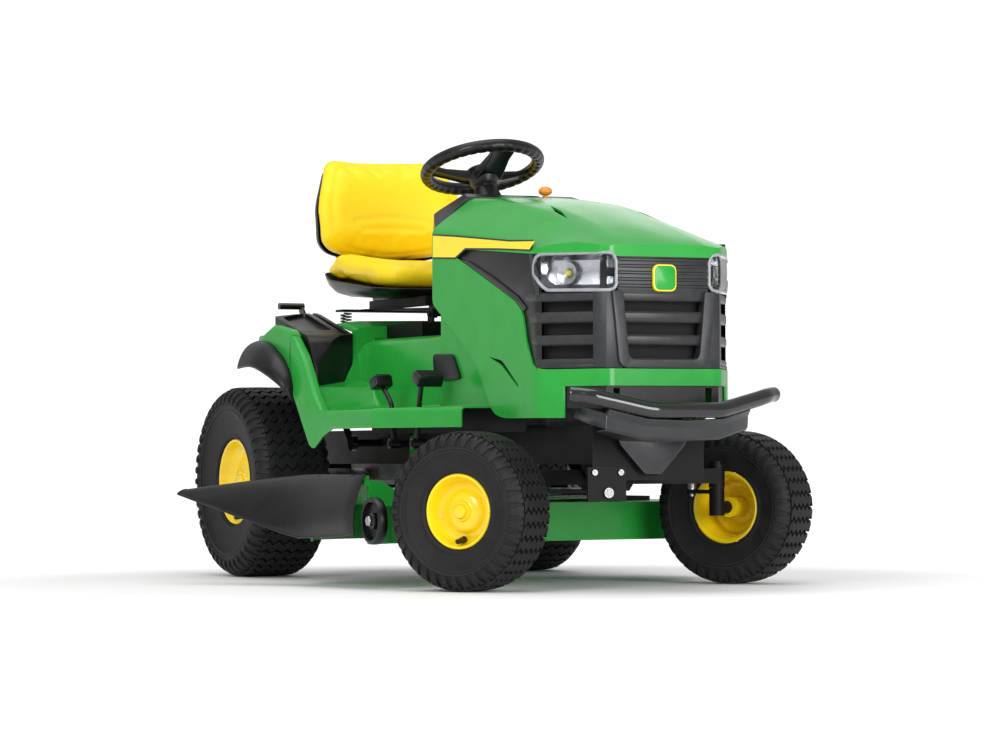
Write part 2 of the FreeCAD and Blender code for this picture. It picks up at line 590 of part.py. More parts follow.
def console_shell():
    wall = 4.0
    outline = [(50, 712), (-60, 708), (-282, 645), (-330, 636), (-388, 512), (-384, 506), (-340, 506),
               (-200, 566), (50, 566)]
    inner = [(50 - wall, 712 - wall), (-60, 708 - wall - 1), (-282, 645 - wall - 1), (-326, 632), (-378, 515),
             (-340, 512), (-200, 560), (50 - wall, 560)]
    outer = prism_x(outline, -398, -250)
    inner_solid = prism_x(inner, -398 + wall, -250 - wall)
    return outer.cut(inner_solid)


def make_consoles():
    right = console_shell()
    right = right.cut(box(-280, -260, -264, 34, 500, 760))
    right = right.cut(box(-280, -260, -292, -263, 500, 560))
    left = mirror(console_shell())
    cup = cyl(46, (322, -205, 590), (322, -205, 700))
    cup_void = cyl(42, (322, -205, 594), (322, -205, 760))
    under = mirror(prism_x([(50, 712), (-60, 708), (-282, 645), (-330, 636), (-388, 500), (50, 500)], -398, -250))
    cup = cup.common(under)
    left = left.fuse(cup).cut(cup_void)
    left = left.cut(cyl(31, (330, -40, 600), (330, -40, 760)))
    left = left.cut(filler_neck(24, (187, -150, 560)))
    shapes["side_consoles"] = Part.makeCompound([right, left])


def filler_neck(radius, foot):
    return tube([foot, (270, -40, 600), (330, -40, 640), (330, -40, 712)], radius, 20)


def make_tank():
    tank = box(-190, 190, -240, -110, 440, 600)
    tank = tank.cut(box(-184, 184, -234, -116, 446, 594))
    shapes["fuel_tank"] = tank.fuse(filler_neck(22, (187, -150, 560))).removeSplitter()
    cap = ring(30, 22.6, (330, -40, 706), (330, -40, 728)).fuse(cyl(30, (330, -40, 712.6), (330, -40, 730)))
    shapes["fuel_cap"] = cap.removeSplitter()
    battery = box(-95, 95, -985, -865, RAIL_Z[1] + GAP, 560)
    posts = [cyl(8, (x, -900, 559), (x, -900, 574)) for x in (-65, 65)]
    shapes["battery"] = fuse([battery] + posts)


def hood_section(y, top, crease_x, crease_z, belt_z, inset):
    side = HOOD_X - inset
    return [(-side, y, 380), (-side, y, belt_z), (-crease_x + inset * 0.6, y, crease_z - inset),
            (0, y, top - inset), (crease_x - inset * 0.6, y, crease_z - inset), (side, y, belt_z), (side, y, 380)]


def hood_body(inset, rear, front):
    data = [(rear, 976, 151, 970, 888), (-950, 966, 148, 957, 868), (-1100, 945, 144, 934, 847),
            (-1290, 900, 140, 887, 822), (-1430, 858, 144, 846, 806), (front, 818, 157, 810, 798)]
    return loft([hood_section(y, t, cx, cz, bz, inset) for y, t, cx, cz, bz in data])


def hood_plan(inset, rear, front):
    side = HOOD_X - inset
    front = front + inset
    return prism_z([(-side, rear), (-side, -1381), (-154 + inset * 0.4, front), (154 - inset * 0.4, front),
                    (side, -1381), (side, rear)], 380, 1100)


def make_hood():
    rear, front = -808, -1534
    side_outline = [(rear, 1000), (rear, 702), (-968, 607), (-1053, 553), (-1146, 424), (-1206, 411),
                    (-1480, 409), (-1540, 443), (-1540, 1000)]
    outer = hood_body(0, rear, front).common(hood_plan(0, rear, front))
    inner = hood_body(HOOD_WALL, rear + 40, front).common(hood_plan(HOOD_WALL, rear + 40, front))
    shell = outer.cut(inner).common(prism_x(side_outline, -300, 300))
    # opening that the grille, headlights and side panels fill
    band_top = 524.0
    lip = 790.0
    nose = [(-150, band_top), (150, band_top), (150, lip), (-150, lip)]
    shell = shell.cut(prism_y(nose, -1560, -1500))
    cheek = [(-1560, band_top), (-1375, band_top), (-1330, 590), (-1312, 663), (-1272, 692), (-960, 812),
             (-1000, 826), (-1385, 790), (-1560, 790)]
    for sign in (-1, 1):
        x0, x1 = sorted((sign * 140, sign * 290))
        shell = shell.cut(prism_x(cheek, x0, x1))
    shell = shell.cut(box(-280, 280, -1560, -1440, 380, 484))
    for sign in (-1, 1):
        x0, x1 = sorted((sign * 96, sign * 112))
        shell = shell.cut(box(x0, x1, -1420, -1170, 830, 1000))
    shapes["hood_shell"] = shell


def hood_front_line(inset, rear):
    side = HOOD_X - inset
    front = -1534 + inset
    return [(-side, rear), (-side, -1381), (-154 + inset * 0.4, front), (154 - inset * 0.4, front),
            (side, -1381), (side, rear)]


def make_grille():
    wall = 14.0
    z0, z1 = 524.0 + GAP, 706.0
    body = prism_z(strip(hood_front_line(2, -1380.5), -wall), z0, z1)
    for sign in (-1, 1):
        for k in range(4):
            low = 548 + k * 40
            x0, x1 = sorted((sign * 160, sign * 246))
            body = body.cut(box(x0, x1, -1600, -1300, low, low + 18))
    for k in range(4):
        low = 545 + k * 41
        body = body.cut(box(-100, 100, -1600, -1450, low, low + 20))
    top_strip = box(-124, 124, -1532, -1532 + wall, 706, 790 - GAP)
    panel = [(-1330, 590), (-1314, 664), (-1274, 694), (-966, 810), (-1001, 823), (-1384, 788), (-1384, 706),
             (-1384, 524.6), (-1377, 524.6)]
    side_panels = [prism_x(panel, -260, -256), prism_x(panel, 256, 260)]
    backs = []
    for sign in (-1, 1):
        outline = [(sign * x, y) for x, y in ((256, -1376), (256, -1330), (226, -1330), (124, -1480), (124, -1532),
                                              (150, -1516), (244, -1384))]
        backs.append(prism_z(outline, 706, 712))
    body = fuse([body, top_strip] + side_panels + backs)
    ear = prism_x([(-1519, 528), (-1519, 560), (-1470, 524), (-1470, 496), (-1490, 496)], 127, 131)
    body = fuse([body] + both_sides(ear))
    body = body.cut(cyl(6 + FIT, (-140, HOOD_PIVOT[0], HOOD_PIVOT[1]), (140, HOOD_PIVOT[0], HOOD_PIVOT[1])))
    shapes["grille"] = body


def make_headlights():
    lenses = []
    for sign in (-1, 1):
        line = [(sign * 258, -1389), (sign * 154, -1531.5), (sign * 126, -1531.5)]
        wall = -22 if sign < 0 else 22
        lens = prism_z(strip(line, wall), 712 + GAP, 786)
        lenses.append(lens)
    shapes["headlight_lenses"] = Part.makeCompound(lenses)
    line = [(-211, -1442), (-151, -1526), (151, -1526), (211, -1442)]
    valance = prism_z(strip(line, -5), 432, 483)
    for notch in both_sides(box(115, 132, -1560, -1430, 425, 479)):
        valance = valance.cut(notch)
    shapes["front_valance"] = valance


def make_dash():
    wall = 4.0
    outline = [(-802, 700), (-802, 880), (-802, 975), (-770, 984), (-700, 948), (-640, 900), (-632, 860),
               (-700, 700)]
    inner = [(-798, 690), (-798, 880), (-798, 970), (-770, 979), (-702, 943), (-645, 898), (-637, 862),
             (-700 - wall, 690)]
    section = [(-250, 640), (-250, 885), (-152, 984), (152, 984), (250, 885), (250, 640)]
    plan = prism_z([(-250, -803), (-176, -632), (176, -632), (250, -803)], 640, 1000)
    inner_plan = prism_z([(-246, -803), (-172, -632), (172, -632), (246, -803)], 640, 1000)
    inner_section = [(-246, 640), (-246, 883), (-150, 980), (150, 980), (246, 883), (246, 640)]
    outer = prism_x(outline, -260, 260).common(prism_y(section, -810, -600)).common(plan)
    hollow = prism_x(inner, -260, 260).common(prism_y(inner_section, -810, -600)).common(inner_plan)
    dash = outer.cut(hollow)
    cone_top = wheel_point(0, 0, -60)
    cone_base = wheel_point(0, 0, -150)
    boot = Part.makeCone(58, 30, 90, cone_base, cone_top - cone_base)
    boot_void = Part.makeCone(54, 26, 90.2, cone_base, cone_top - cone_base)
    dash = dash.cut(cyl(56, wheel_point(0, 0, -260), wheel_point(0, 0, -40)))
    skirt = ring(58, 54, wheel_point(0, 0, -230), cone_base)
    dash = fuse([dash, skirt, boot.cut(boot_void)])
    dash = dash.cut(cyl(30, wheel_point(0, 0, -240), wheel_point(0, 0, -500)))
    dash = dash.cut(box(THROTTLE_X - 7, THROTTLE_X + 7, -795, -722, 940, 1000))
    dash = dash.cut(cyl(9, (PTO_X, -690, 900), (PTO_X, -690, 990)))
    dash = dash.cut(cyl(11, (KEY_X, -690, 900), (KEY_X, -690, 990)))
    shapes["dash_console"] = dash


def make_dash_controls():
    lever = fuse([
        cyl(9, (THROTTLE_X - 5, -748, 900), (THROTTLE_X + 5, -748, 900)),
        prism_x([(-752, 896), (-744, 896), (-776, 986), (-784, 986)], THROTTLE_X - 3, THROTTLE_X + 3),
        Part.makeCylinder(15, 14, V(THROTTLE_X, -780, 984)),
    ])
    shapes["throttle_lever"] = lever
    stem = cyl(6, (PTO_X, -690, 925), (PTO_X, -690, 965))
    shapes["pto_knob"] = stem.fuse(cyl(17, (PTO_X, -690, 955), (PTO_X, -690, 975))).removeSplitter()
    barrel = cyl(8, (KEY_X, -690, 925), (KEY_X, -690, 956))
    shapes["ignition_key"] = barrel.fuse(box(KEY_X - 2, KEY_X + 2, -704, -676, 954, 984)).removeSplitter()


# ---- pedals ----
def pedal(x, pivot_y, pivot_z, line, pad_centre, pad_tilt):
    arm = prism_x(strip(line, 12), x - 5, x + 5)
    hub = cyl(13, (x - 14, pivot_y, pivot_z), (x + 14, pivot_y, pivot_z))
    pad = box(x - 32, x + 32, pad_centre[0] - 22, pad_centre[0] + 22, pad_centre[1] - 14, pad_centre[1] + 14)
    pad = turned(pad, (x, pad_centre[0], pad_centre[1]), X_AXIS, pad_tilt)
    body = fuse([arm, hub, pad])
    return body.cut(cyl(8 + FIT, (x - 40, pivot_y, pivot_z), (x + 40, pivot_y, pivot_z)))


def make_pedals():
    forward = [(-846, 352), (-866, 430), (-874, 480), (-880, 512)]
    reverse = [(-724, 352), (-704, 430), (-690, 470), (-664, 500)]
    shapes["forward_pedal"] = pedal(-328, -852, 352, forward, (-884, 516), 24)
    shapes["reverse_pedal"] = pedal(-328, -718, 352, reverse, (-660, 508), -18)
    shapes["brake_pedal"] = pedal(328, -852, 352, forward, (-884, 516), 24)


# ---- seat ----
def make_seat():
    base = box(-150, 150, -505, -275, TUNNEL_Z + 3 + GAP, 668)
    base = base.cut(box(-146, 146, -501, -279, TUNNEL_Z + 8, 680))
    lugs = [box(x, x + 6, -505, -475, 660, 704) for x in (-120, 114)]
    base = fuse([base] + lugs)
    base = base.cut(cyl(6, (-140, SEAT_PIVOT[0], SEAT_PIVOT[1]), (140, SEAT_PIVOT[0], SEAT_PIVOT[1])))
    hinge_pin = cyl(6, (-126, SEAT_PIVOT[0], SEAT_PIVOT[1]), (126, SEAT_PIVOT[0], SEAT_PIVOT[1]))
    shapes["seat_base"] = base.fuse(hinge_pin).removeSplitter()

    plate = prism_x(strip([(-500, 708), (-470, 708), (-60, 720), (-30, 720)], 5), -110, 110)
    ears = [box(x, x + 6, -502, -478, 680, 706) for x in (-110, 104)]
    rails = [box(x, x + 22, -420, -60, 716, 741) for x in (-100, 78)]
    bridge = box(-200, 200, -110, -60, 710, 716)
    pan = fuse([plate, bridge] + ears + rails)
    pan = pan.cut(cyl(6 + FIT, (-140, SEAT_PIVOT[0], SEAT_PIVOT[1]), (140, SEAT_PIVOT[0], SEAT_PIVOT[1])))
    shapes["seat_pan"] = pan

    springs = []
    for sign in (-1, 1):
        helix = Part.makeHelix(8, 34, 14)
        section = Part.Wire(Part.makeCircle(2.2, V(14, 0, 0), V(0, 1, 0)))
        coil = Part.Wire(helix).makePipeShell([section], True, True)
        coil.Placement = FreeCAD.Placement(V(sign * 180, -85, 673), FreeCAD.Rotation())
        springs.append(coil)
    shapes["seat_springs"] = Part.makeCompound(springs)

    shell_base = prism_x([(30, 756), (-372, 764), (-384, 782), (-384, 788), (30, 776)], -196, 196)
    feet = [box(x, x + 22, -400, -80, 741 + GAP, 764) for x in (-100, 78)]
    shell_back = prism_x([(30, 756), (92, 800), (104, 1108), (96, 1112), (74, 806), (30, 784)], -190, 190)
    shapes["seat_shell"] = fuse([shell_base, shell_back] + feet)
    cushion = prism_x([(24, 777), (-378, 789), (-392, 806), (-380, 824), (-300, 836), (24, 872), (64, 868),
                       (58, 800)], -208, 208)
    shapes["seat_cushion"] = cushion.cut(shapes["seat_shell"])
    back = prism_x([(66, 880), (12, 884), (4, 930), (30, 1040), (46, 1110), (60, 1132), (84, 1132), (100, 1114)],
                   -213, 213)
    shapes["seat_back"] = back.cut(shapes["seat_shell"])


# ---- lift ----
def make_lift():
    shaft = cyl(LIFT_R, (-262, LIFT_Y, LIFT_Z), (196, LIFT_Y, LIFT_Z))
    up = math.radians(10)
    tip_y = LIFT_Y - LIFT_ARM * math.cos(up)
    tip_z = LIFT_Z + LIFT_ARM * math.sin(up)
    pieces = [shaft]
    for sign in (-1, 1):
        x0, x1 = sorted((sign * 184, sign * 192))
        pieces.append(prism_x(strip([(LIFT_Y + 10, LIFT_Z - 12), (tip_y - 12, tip_z - 12)], 24), x0, x1))
    shapes["lift_arms"] = fuse(pieces)
    lever_arm = prism_x(strip([(LIFT_Y, LIFT_Z + 8), (6, 729)], 20), -274, -266)
    hub = cyl(20, (-276, LIFT_Y, LIFT_Z), (-262.4, LIFT_Y, LIFT_Z))
    hub = hub.cut(cyl(LIFT_R + GAP, (-270, LIFT_Y, LIFT_Z), (-262, LIFT_Y, LIFT_Z)))
    grip = cyl(9, (-336, 10, 727), (-264, 10, 727))
    lever = fuse([lever_arm, hub, grip])
    shapes["lift_lever"] = lever


# ---- mower deck ----
def deck_outline(inset):
    r = DECK_R - inset
    x = DECK_BLADE_X
    discs = [cyl(r, (sx, DECK_Y, 0), (sx, DECK_Y, 400)) for sx in (-x, x)]
    middle = box(-x, x, DECK_Y - r, DECK_Y + r, 0, 400)
    corner = prism_z([(-530 + inset, -1016 + inset), (-508, -1016 + inset), (-452, -973 + inset), (-x, -973 + inset),
                      (-x, DECK_Y), (-530 + inset, DECK_Y)], 0, 400)
    return fuse(discs + [middle, corner])


def make_deck():
    z0, z1 = DECK_Z
    wall = 3.0
    outer = deck_outline(0)
    inner = deck_outline(wall)
    shell = outer.common(box(-700, 700, -1200, 0, z0, z1)).cut(inner.common(box(-700, 700, -1200, 0, z0 - 1, z1 - wall)))
    hump = prism_y([(-400, z1 - wall), (-400, z1), (-500, 262), (-530, 262), (-530, z1 - wall)], -1013, -640)
    hump_void = prism_y([(-404, z1 - wall - 1), (-404, z1 - wall), (-500, 259), (-527, 259), (-527, z1 - wall - 1)],
                        -1010, -643)
    shell = shell.fuse(hump).cut(hump_void)
    shell = shell.cut(box(-540, -520, -1000, -650, z0 - 1, 256))
    for sign in (-1, 1):
        housing = cyl(40, (sign * DECK_BLADE_X, DECK_Y, z1 - wall), (sign * DECK_BLADE_X, DECK_Y, z1 + 18))
        shell = shell.fuse(housing)
        shell = shell.cut(cyl(12.5 + FIT, (sign * DECK_BLADE_X, DECK_Y, 150), (sign * DECK_BLADE_X, DECK_Y, 260)))
        x0, x1 = sorted((sign * 172, sign * 178))
        hanger = prism_x([(-530, z1 - 1), (-480, z1 - 1), (-488, 392), (-516, 392)], x0, x1)
        shell = shell.fuse(hanger)
        x0, x1 = sorted((sign * 528, sign * 533))
        arm = prism_z([(sign * 528, -1092), (sign * 533, -1092), (sign * 533, -980), (sign * 470, -840),
                       (sign * 455, -850), (sign * 528, -985)], 140, 190)
        pin = cyl(8, (sign * 528, -1080, 166), (sign * 561, -1080, 166))
        shell = shell.fuse(arm).fuse(pin)
    rod = cyl(4, (HINGE[0], -1010, HINGE[1]), (HINGE[0], -644, HINGE[1]))
    lugs = [box(HINGE[0] - 6, -529, y, y + 8, 250, HINGE[1] + 6) for y in HINGE_LUGS]
    shell = fuse([shell, rod] + lugs)
    shapes["deck_shell"] = shell.removeSplitter()

    pulley_r = 66.0
    for side, sign in (("right", -1), ("left", 1)):
        x = sign * DECK_BLADE_X
        shaft = cyl(12.5, (x, DECK_Y, 122), (x, DECK_Y, DECK_BELT_Z + 12))
        wheel = pulley(pulley_r, DECK_BELT_Z - 9, DECK_BELT_Z + 9, x, DECK_Y)
        blade = box(x - 25, x + 25, DECK_Y - BLADE_R, DECK_Y + BLADE_R, 122, 127)
        shapes["blade_" + side] = fuse([shaft, wheel, blade])
        gauge = lathe([(-13, 8 + FIT), (-13, 20), (-5, 24), (-5, 44), (-13, 48), (-13, 57), (13, 57), (13, 48),
                       (5, 44), (5, 24), (13, 20), (13, 8 + FIT)], (sign * 547.5, -1080, 166), (1, 0, 0))
        shapes["gauge_wheel_" + side] = gauge.removeSplitter()
    shapes["deck_belt"] = belt([(0, CRANK_Y, 61), (DECK_BLADE_X, DECK_Y, pulley_r - BELT_SINK),
                                (-DECK_BLADE_X, DECK_Y, pulley_r - BELT_SINK)], DECK_BELT_Z)
    covers = []
    for sign in (-1, 1):
        x = sign * DECK_BLADE_X
        outer_box = box(x - 100, x + 100, DECK_Y - 90, DECK_Y + 110, z1 + GAP, 262)
        inner_box = box(x - 97, x + 97, DECK_Y - 87, DECK_Y + 107, z1 - 5, 259)
        cover = outer_box.cut(inner_box)
        cover = cover.cut(box(x - 110, x + 110, DECK_Y - 130, DECK_Y + 76, z1 + 12, 250))
        covers.append(cover)
    shapes["belt_covers"] = Part.makeCompound(covers)


def deflector_section(y, xi, zi, xo, zo, bulge):
    """Bent strip across the deflector: inner edge at the hinge, outer edge low and outboard."""
    wall = 4.0
    points = []
    for k in range(6):
        t = k / 5
        lift = bulge * math.sin(math.pi * t)
        dx, dz = xo - xi, zo - zi
        length = math.hypot(dx, dz)
        nx, nz = dz / length, -dx / length
        points.append((xi + dx * t + nx * lift, zi + dz * t + nz * lift))
    outline = strip(points, wall)
    return [(u, y, v) for u, v in outline]


def make_deflector():
    rows = [(-1014, -542, 276, -572, 134, 14), (-900, -542, 276, -580, 127, 16), (-740, -543, 276, -602, 122, 20),
            (-620, -556, 272, -664, 156, 20), (-500, -640, 258, -732, 196, 10), (-401, -764, 238, -790, 228, 2)]
    sheet = loft([deflector_section(*row) for row in rows])
    barrels = [ring(8, 4 + FIT, (HINGE[0], y, HINGE[1]), (HINGE[0], y + 60, HINGE[1])) for y in (-960, -760)]
    webs = [box(HINGE[0] - 10, HINGE[0] - 5, y, y + 60, HINGE[1] - 2, HINGE[1] + 6) for y in (-960, -760)]
    sheet = fuse([sheet] + barrels + webs)
    sheet = sheet.cut(cyl(4 + FIT, (HINGE[0], -1020, HINGE[1]), (HINGE[0], -600, HINGE[1])))
    for y in HINGE_LUGS:
        sheet = sheet.cut(cyl(16, (HINGE[0], y - 3, HINGE[1]), (HINGE[0], y + 11, HINGE[1])))
    shapes["deflector"] = sheet


def make_hardware():
    """Zinc-plated bolts and rods."""
    pieces = []
    for x in (-150, -80):
        y = RAIL_Y[0] - 10
        pieces.append(cyl(7, (x, y - GAP, 280), (x, y - 6, 280)))
    pieces.append(cyl(12, (-114, RAIL_Y[0] - 10 - GAP, 232), (-114, RAIL_Y[0] - 18, 232)))
    for x in (-116, -96):
        pieces.append(cyl(6, (x, -1440, 226), (x, -1080, 218)))
    shapes["hardware"] = Part.makeCompound(pieces)


make_wheels()
make_front_axle()
make_knuckles()
make_drag_links()
make_pinion_and_sector()
make_steering_wheel()
make_steering_shafts()
make_frame()
make_bumper()
make_engine()
make_drive()
make_fender_deck()
make_flares()
make_consoles()
make_tank()
make_hood()
make_grille()
make_headlights()
make_dash()
make_dash_controls()
make_pedals()
make_seat()
make_lift()
make_deck()
make_deflector()
make_hardware()

bounds = Part.makeCompound(list(shapes.values())).optimalBoundingBox(False)
shift = V(-(bounds.XMin + bounds.XMax) / 2, -(bounds.YMin + bounds.YMax) / 2, -bounds.ZMin)
for name, shape in shapes.items():
    shape.translate(shift)
    shape.exportStep("parts/" + name + ".step")
print("nodes", len(shapes), "shift", shift, "size", bounds.XLength, bounds.YLength, bounds.ZLength)
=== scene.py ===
import bmesh
import bpy
import json
import math
from mathutils import Matrix, Vector


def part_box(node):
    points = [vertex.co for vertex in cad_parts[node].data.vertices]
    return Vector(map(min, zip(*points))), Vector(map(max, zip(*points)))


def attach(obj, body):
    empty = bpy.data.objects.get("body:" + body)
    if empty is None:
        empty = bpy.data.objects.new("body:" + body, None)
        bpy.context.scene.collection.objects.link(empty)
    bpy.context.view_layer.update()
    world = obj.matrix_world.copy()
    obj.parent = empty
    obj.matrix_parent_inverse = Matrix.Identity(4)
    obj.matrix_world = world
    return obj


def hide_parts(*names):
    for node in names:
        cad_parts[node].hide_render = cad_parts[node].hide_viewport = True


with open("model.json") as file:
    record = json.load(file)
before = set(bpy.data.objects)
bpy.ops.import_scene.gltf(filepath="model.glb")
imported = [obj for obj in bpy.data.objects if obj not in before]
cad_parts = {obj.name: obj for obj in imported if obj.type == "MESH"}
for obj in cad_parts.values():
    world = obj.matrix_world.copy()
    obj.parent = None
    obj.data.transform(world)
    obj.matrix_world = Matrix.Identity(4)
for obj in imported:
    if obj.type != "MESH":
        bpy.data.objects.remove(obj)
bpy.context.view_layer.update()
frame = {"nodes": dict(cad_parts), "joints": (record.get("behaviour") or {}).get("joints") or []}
nodes = frame["nodes"]
joints = {j["name"]: j for j in frame["joints"]}

# ---- places, in millimetres from the ground point under the rear axle's middle ----
# +X is the machine's left, -Y is forwards and +Z is up.
right_hub = Vector(joints["rear_spin_right"]["pos_m"])
left_hub = Vector(joints["rear_spin_left"]["pos_m"])
ORIGIN = Vector(((right_hub.x + left_hub.x) / 2, right_hub.y, 0))
MM = 0.001
SIDES = (("right", -1), ("left", 1))

HOOD_X = 262.0          # hood half width
HOOD_REAR = -808.0
HOOD_FRONT = -1534.0
CHEEK_Y = -1381.0       # where the hood's sides turn in towards the nose
NOSE_X = 154.0
BAND_Z = 524.0          # top of the painted band under the grille
LAMP_Z = (708.0, 797.0)
LAMP_CUP = 0.34         # how far along the lamp its reflector cup sits
LAMP_CUP_Z = 752.0
BADGE_Z = 738.0
BACK_Z = 990.0          # height of the seat back's middle
CUSHION_Y = -185.0      # lengthwise middle of the seat cushion
BUMPER_R = 18.6
LIP_Z = 788.0
FENDER_X = 430.0
TUNNEL_X = 235.0


def at(x, y, z):
    """A point of the machine, in the scene's metres."""
    return ORIGIN + Vector((x, y, z)) * MM


def hub_of(joint):
    """A joint's pivot, in the machine's millimetres."""
    return (Vector(joints[joint]["pos_m"]) - ORIGIN) / MM


# ---- materials ----
MATERIALS = {}


def put(node, values):
    """Sets a shader node's inputs by name."""
    for name, value in values.items():
        node.inputs[name].default_value = value


def new_material(name):
    mat = bpy.data.materials.new(name)
    mat.use_nodes = True
    return mat, mat.node_tree.nodes, mat.node_tree.links, mat.node_tree.nodes["Principled BSDF"]


def textured(name, color, dark, rough, rough_spread=0.08, scale=40.0, detail_scale=900.0, bump=0.15,
        depth=0.0002, metallic=0.0, coat=0.0, specular=0.5, stretch=(1, 1, 1), edge_highlight=None, sheen=0.0,
        cells=False):
    """A surface with soft colour variation, uneven gloss, fine bump and, if given, a painted highlight on its
    edges.
    """
    mat, tree, link, shader = new_material(name)
    place = tree.new("ShaderNodeTexCoord")
    mapping = tree.new("ShaderNodeMapping")
    put(mapping, {"Scale": stretch})
    link.new(place.outputs["Object"], mapping.inputs["Vector"])
    broad = tree.new("ShaderNodeTexNoise")
    put(broad, {"Scale": scale, "Detail": 4.0})
    link.new(mapping.outputs["Vector"], broad.inputs["Vector"])
    ramp = tree.new("ShaderNodeValToRGB")
    ramp.color_ramp.elements[0].position = 0.35
    ramp.color_ramp.elements[1].position = 0.65
    ramp.color_ramp.elements[0].color = (*dark, 1)
    ramp.color_ramp.elements[1].color = (*color, 1)
    link.new(broad.outputs["Fac"], ramp.inputs["Fac"])
    colour = ramp.outputs["Color"]
    # Edges take the given lighter colour through a bevel mask: a painted highlight along every edge.
    if edge_highlight:
        bevel = tree.new("ShaderNodeBevel")
        put(bevel, {"Radius": 0.003})
        geometry = tree.new("ShaderNodeNewGeometry")
        edge = tree.new("ShaderNodeVectorMath")
        edge.operation = "DOT_PRODUCT"
        link.new(bevel.outputs["Normal"], edge.inputs[0])
        link.new(geometry.outputs["Normal"], edge.inputs[1])
        edge_ramp = tree.new("ShaderNodeValToRGB")
        edge_ramp.color_ramp.elements[0].position = 0.80
        edge_ramp.color_ramp.elements[0].color = (1, 1, 1, 1)
        edge_ramp.color_ramp.elements[1].position = 0.97
        edge_ramp.color_ramp.elements[1].color = (0, 0, 0, 1)
        link.new(edge.outputs["Value"], edge_ramp.inputs["Fac"])
        mix = tree.new("ShaderNodeMixRGB")
        link.new(edge_ramp.outputs["Color"], mix.inputs["Fac"])
        link.new(colour, mix.inputs["Color1"])
        put(mix, {"Color2": (*edge_highlight, 1)})
        colour = mix.outputs["Color"]
    link.new(colour, shader.inputs["Base Color"])
    spread = tree.new("ShaderNodeMapRange")
    put(spread, {"To Min": max(rough - rough_spread, 0.02), "To Max": min(rough + rough_spread, 1.0)})
    link.new(broad.outputs["Fac"], spread.inputs["Value"])
    link.new(spread.outputs["Result"], shader.inputs["Roughness"])
    if cells:
        fine = tree.new("ShaderNodeTexVoronoi")
        fine.feature = "SMOOTH_F1"
        height = fine.outputs["Distance"]
    else:
        fine = tree.new("ShaderNodeTexNoise")
        put(fine, {"Detail": 3.0})
        height = fine.outputs["Fac"]
    put(fine, {"Scale": detail_scale})
    link.new(mapping.outputs["Vector"], fine.inputs["Vector"])
    bump_node = tree.new("ShaderNodeBump")
    put(bump_node, {"Strength": bump, "Distance": depth})
    link.new(height, bump_node.inputs["Height"])
    link.new(bump_node.outputs["Normal"], shader.inputs["Normal"])
    put(shader, {"Metallic": metallic, "Coat Weight": coat, "Coat Roughness": 0.08,
        "Specular IOR Level": specular, "Sheen Weight": sheen})
    MATERIALS[name] = mat


def glass_material():
    mat, tree, link, shader = new_material("clear_lens")
    place = tree.new("ShaderNodeTexCoord")
    ribs = tree.new("ShaderNodeTexWave")
    put(ribs, {"Scale": 60.0, "Distortion": 0.4})
    link.new(place.outputs["Object"], ribs.inputs["Vector"])
    bump_node = tree.new("ShaderNodeBump")
    put(bump_node, {"Strength": 0.06, "Distance": 0.0003})
    link.new(ribs.outputs["Fac"], bump_node.inputs["Height"])
    link.new(bump_node.outputs["Normal"], shader.inputs["Normal"])
    tint = tree.new("ShaderNodeTexNoise")
    put(tint, {"Scale": 30.0})
    link.new(place.outputs["Object"], tint.inputs["Vector"])
    ramp = tree.new("ShaderNodeValToRGB")
    ramp.color_ramp.elements[0].color = (0.90, 0.93, 0.95, 1)
    ramp.color_ramp.elements[1].color = (1, 1, 1, 1)
    link.new(tint.outputs["Fac"], ramp.inputs["Fac"])
    link.new(ramp.outputs["Color"], shader.inputs["Base Color"])
    put(shader, {"Roughness": 0.03, "IOR": 1.25, "Transmission Weight": 1.0})
    MATERIALS["lens"] = mat


# The edge colours given to textured() are lighter than the base colours: painted highlights along edges.
GREEN = (0.021, 0.330, 0.042)
YELLOW = (0.93, 0.67, 0.006)
textured("green_plastic", GREEN, (0.019, 0.305, 0.038), 0.22, 0.05, 14, 260, 0.05, 0.0003, coat=0.08,
    specular=0.3, edge_highlight=(0.035, 0.40, 0.06))
textured("yellow_rim", YELLOW, (0.89, 0.62, 0.005), 0.27, 0.06, 20, 300, 0.06, 0.0003, coat=0.4,
    edge_highlight=(0.95, 0.74, 0.04))
textured("yellow_plastic", (0.95, 0.76, 0.006), (0.92, 0.72, 0.005), 0.32, 0.05, 20, 400, 0.05, coat=0.3)
textured("seat_vinyl", (0.95, 0.69, 0.006), (0.92, 0.65, 0.005), 0.46, 0.06, 10, 700, 0.22, 0.0004,
    specular=0.4, cells=True)
textured("black_plastic", (0.007, 0.007, 0.008), (0.004, 0.004, 0.005), 0.32, 0.07, 30, 900, 0.25, 0.0003,
    specular=0.35, edge_highlight=(0.022, 0.022, 0.023))
textured("grey_plastic", (0.024, 0.025, 0.027), (0.016, 0.017, 0.019), 0.36, 0.07, 30, 900, 0.35, 0.0003,
    specular=0.4, edge_highlight=(0.055, 0.057, 0.06))
textured("black_paint", (0.006, 0.006, 0.006), (0.004, 0.004, 0.004), 0.12, 0.05, 20, 180, 0.05, 0.0003,
    coat=0.6, edge_highlight=(0.05, 0.05, 0.05))
textured("frame_black", (0.004, 0.004, 0.004), (0.002, 0.002, 0.002), 0.5, 0.1, 20, 180, 0.05, 0.0003,
    specular=0.2, edge_highlight=(0.02, 0.02, 0.02))
textured("bracket_paint", (0.020, 0.021, 0.024), (0.014, 0.015, 0.018), 0.34, 0.07, 26, 700, 0.20, 0.0003,
    coat=0.1, edge_highlight=(0.13, 0.13, 0.135))
textured("tyre_rubber", (0.011, 0.011, 0.012), (0.006, 0.006, 0.007), 0.58, 0.12, 22, 500, 0.40, 0.0005,
    specular=0.28, edge_highlight=(0.032, 0.032, 0.033))
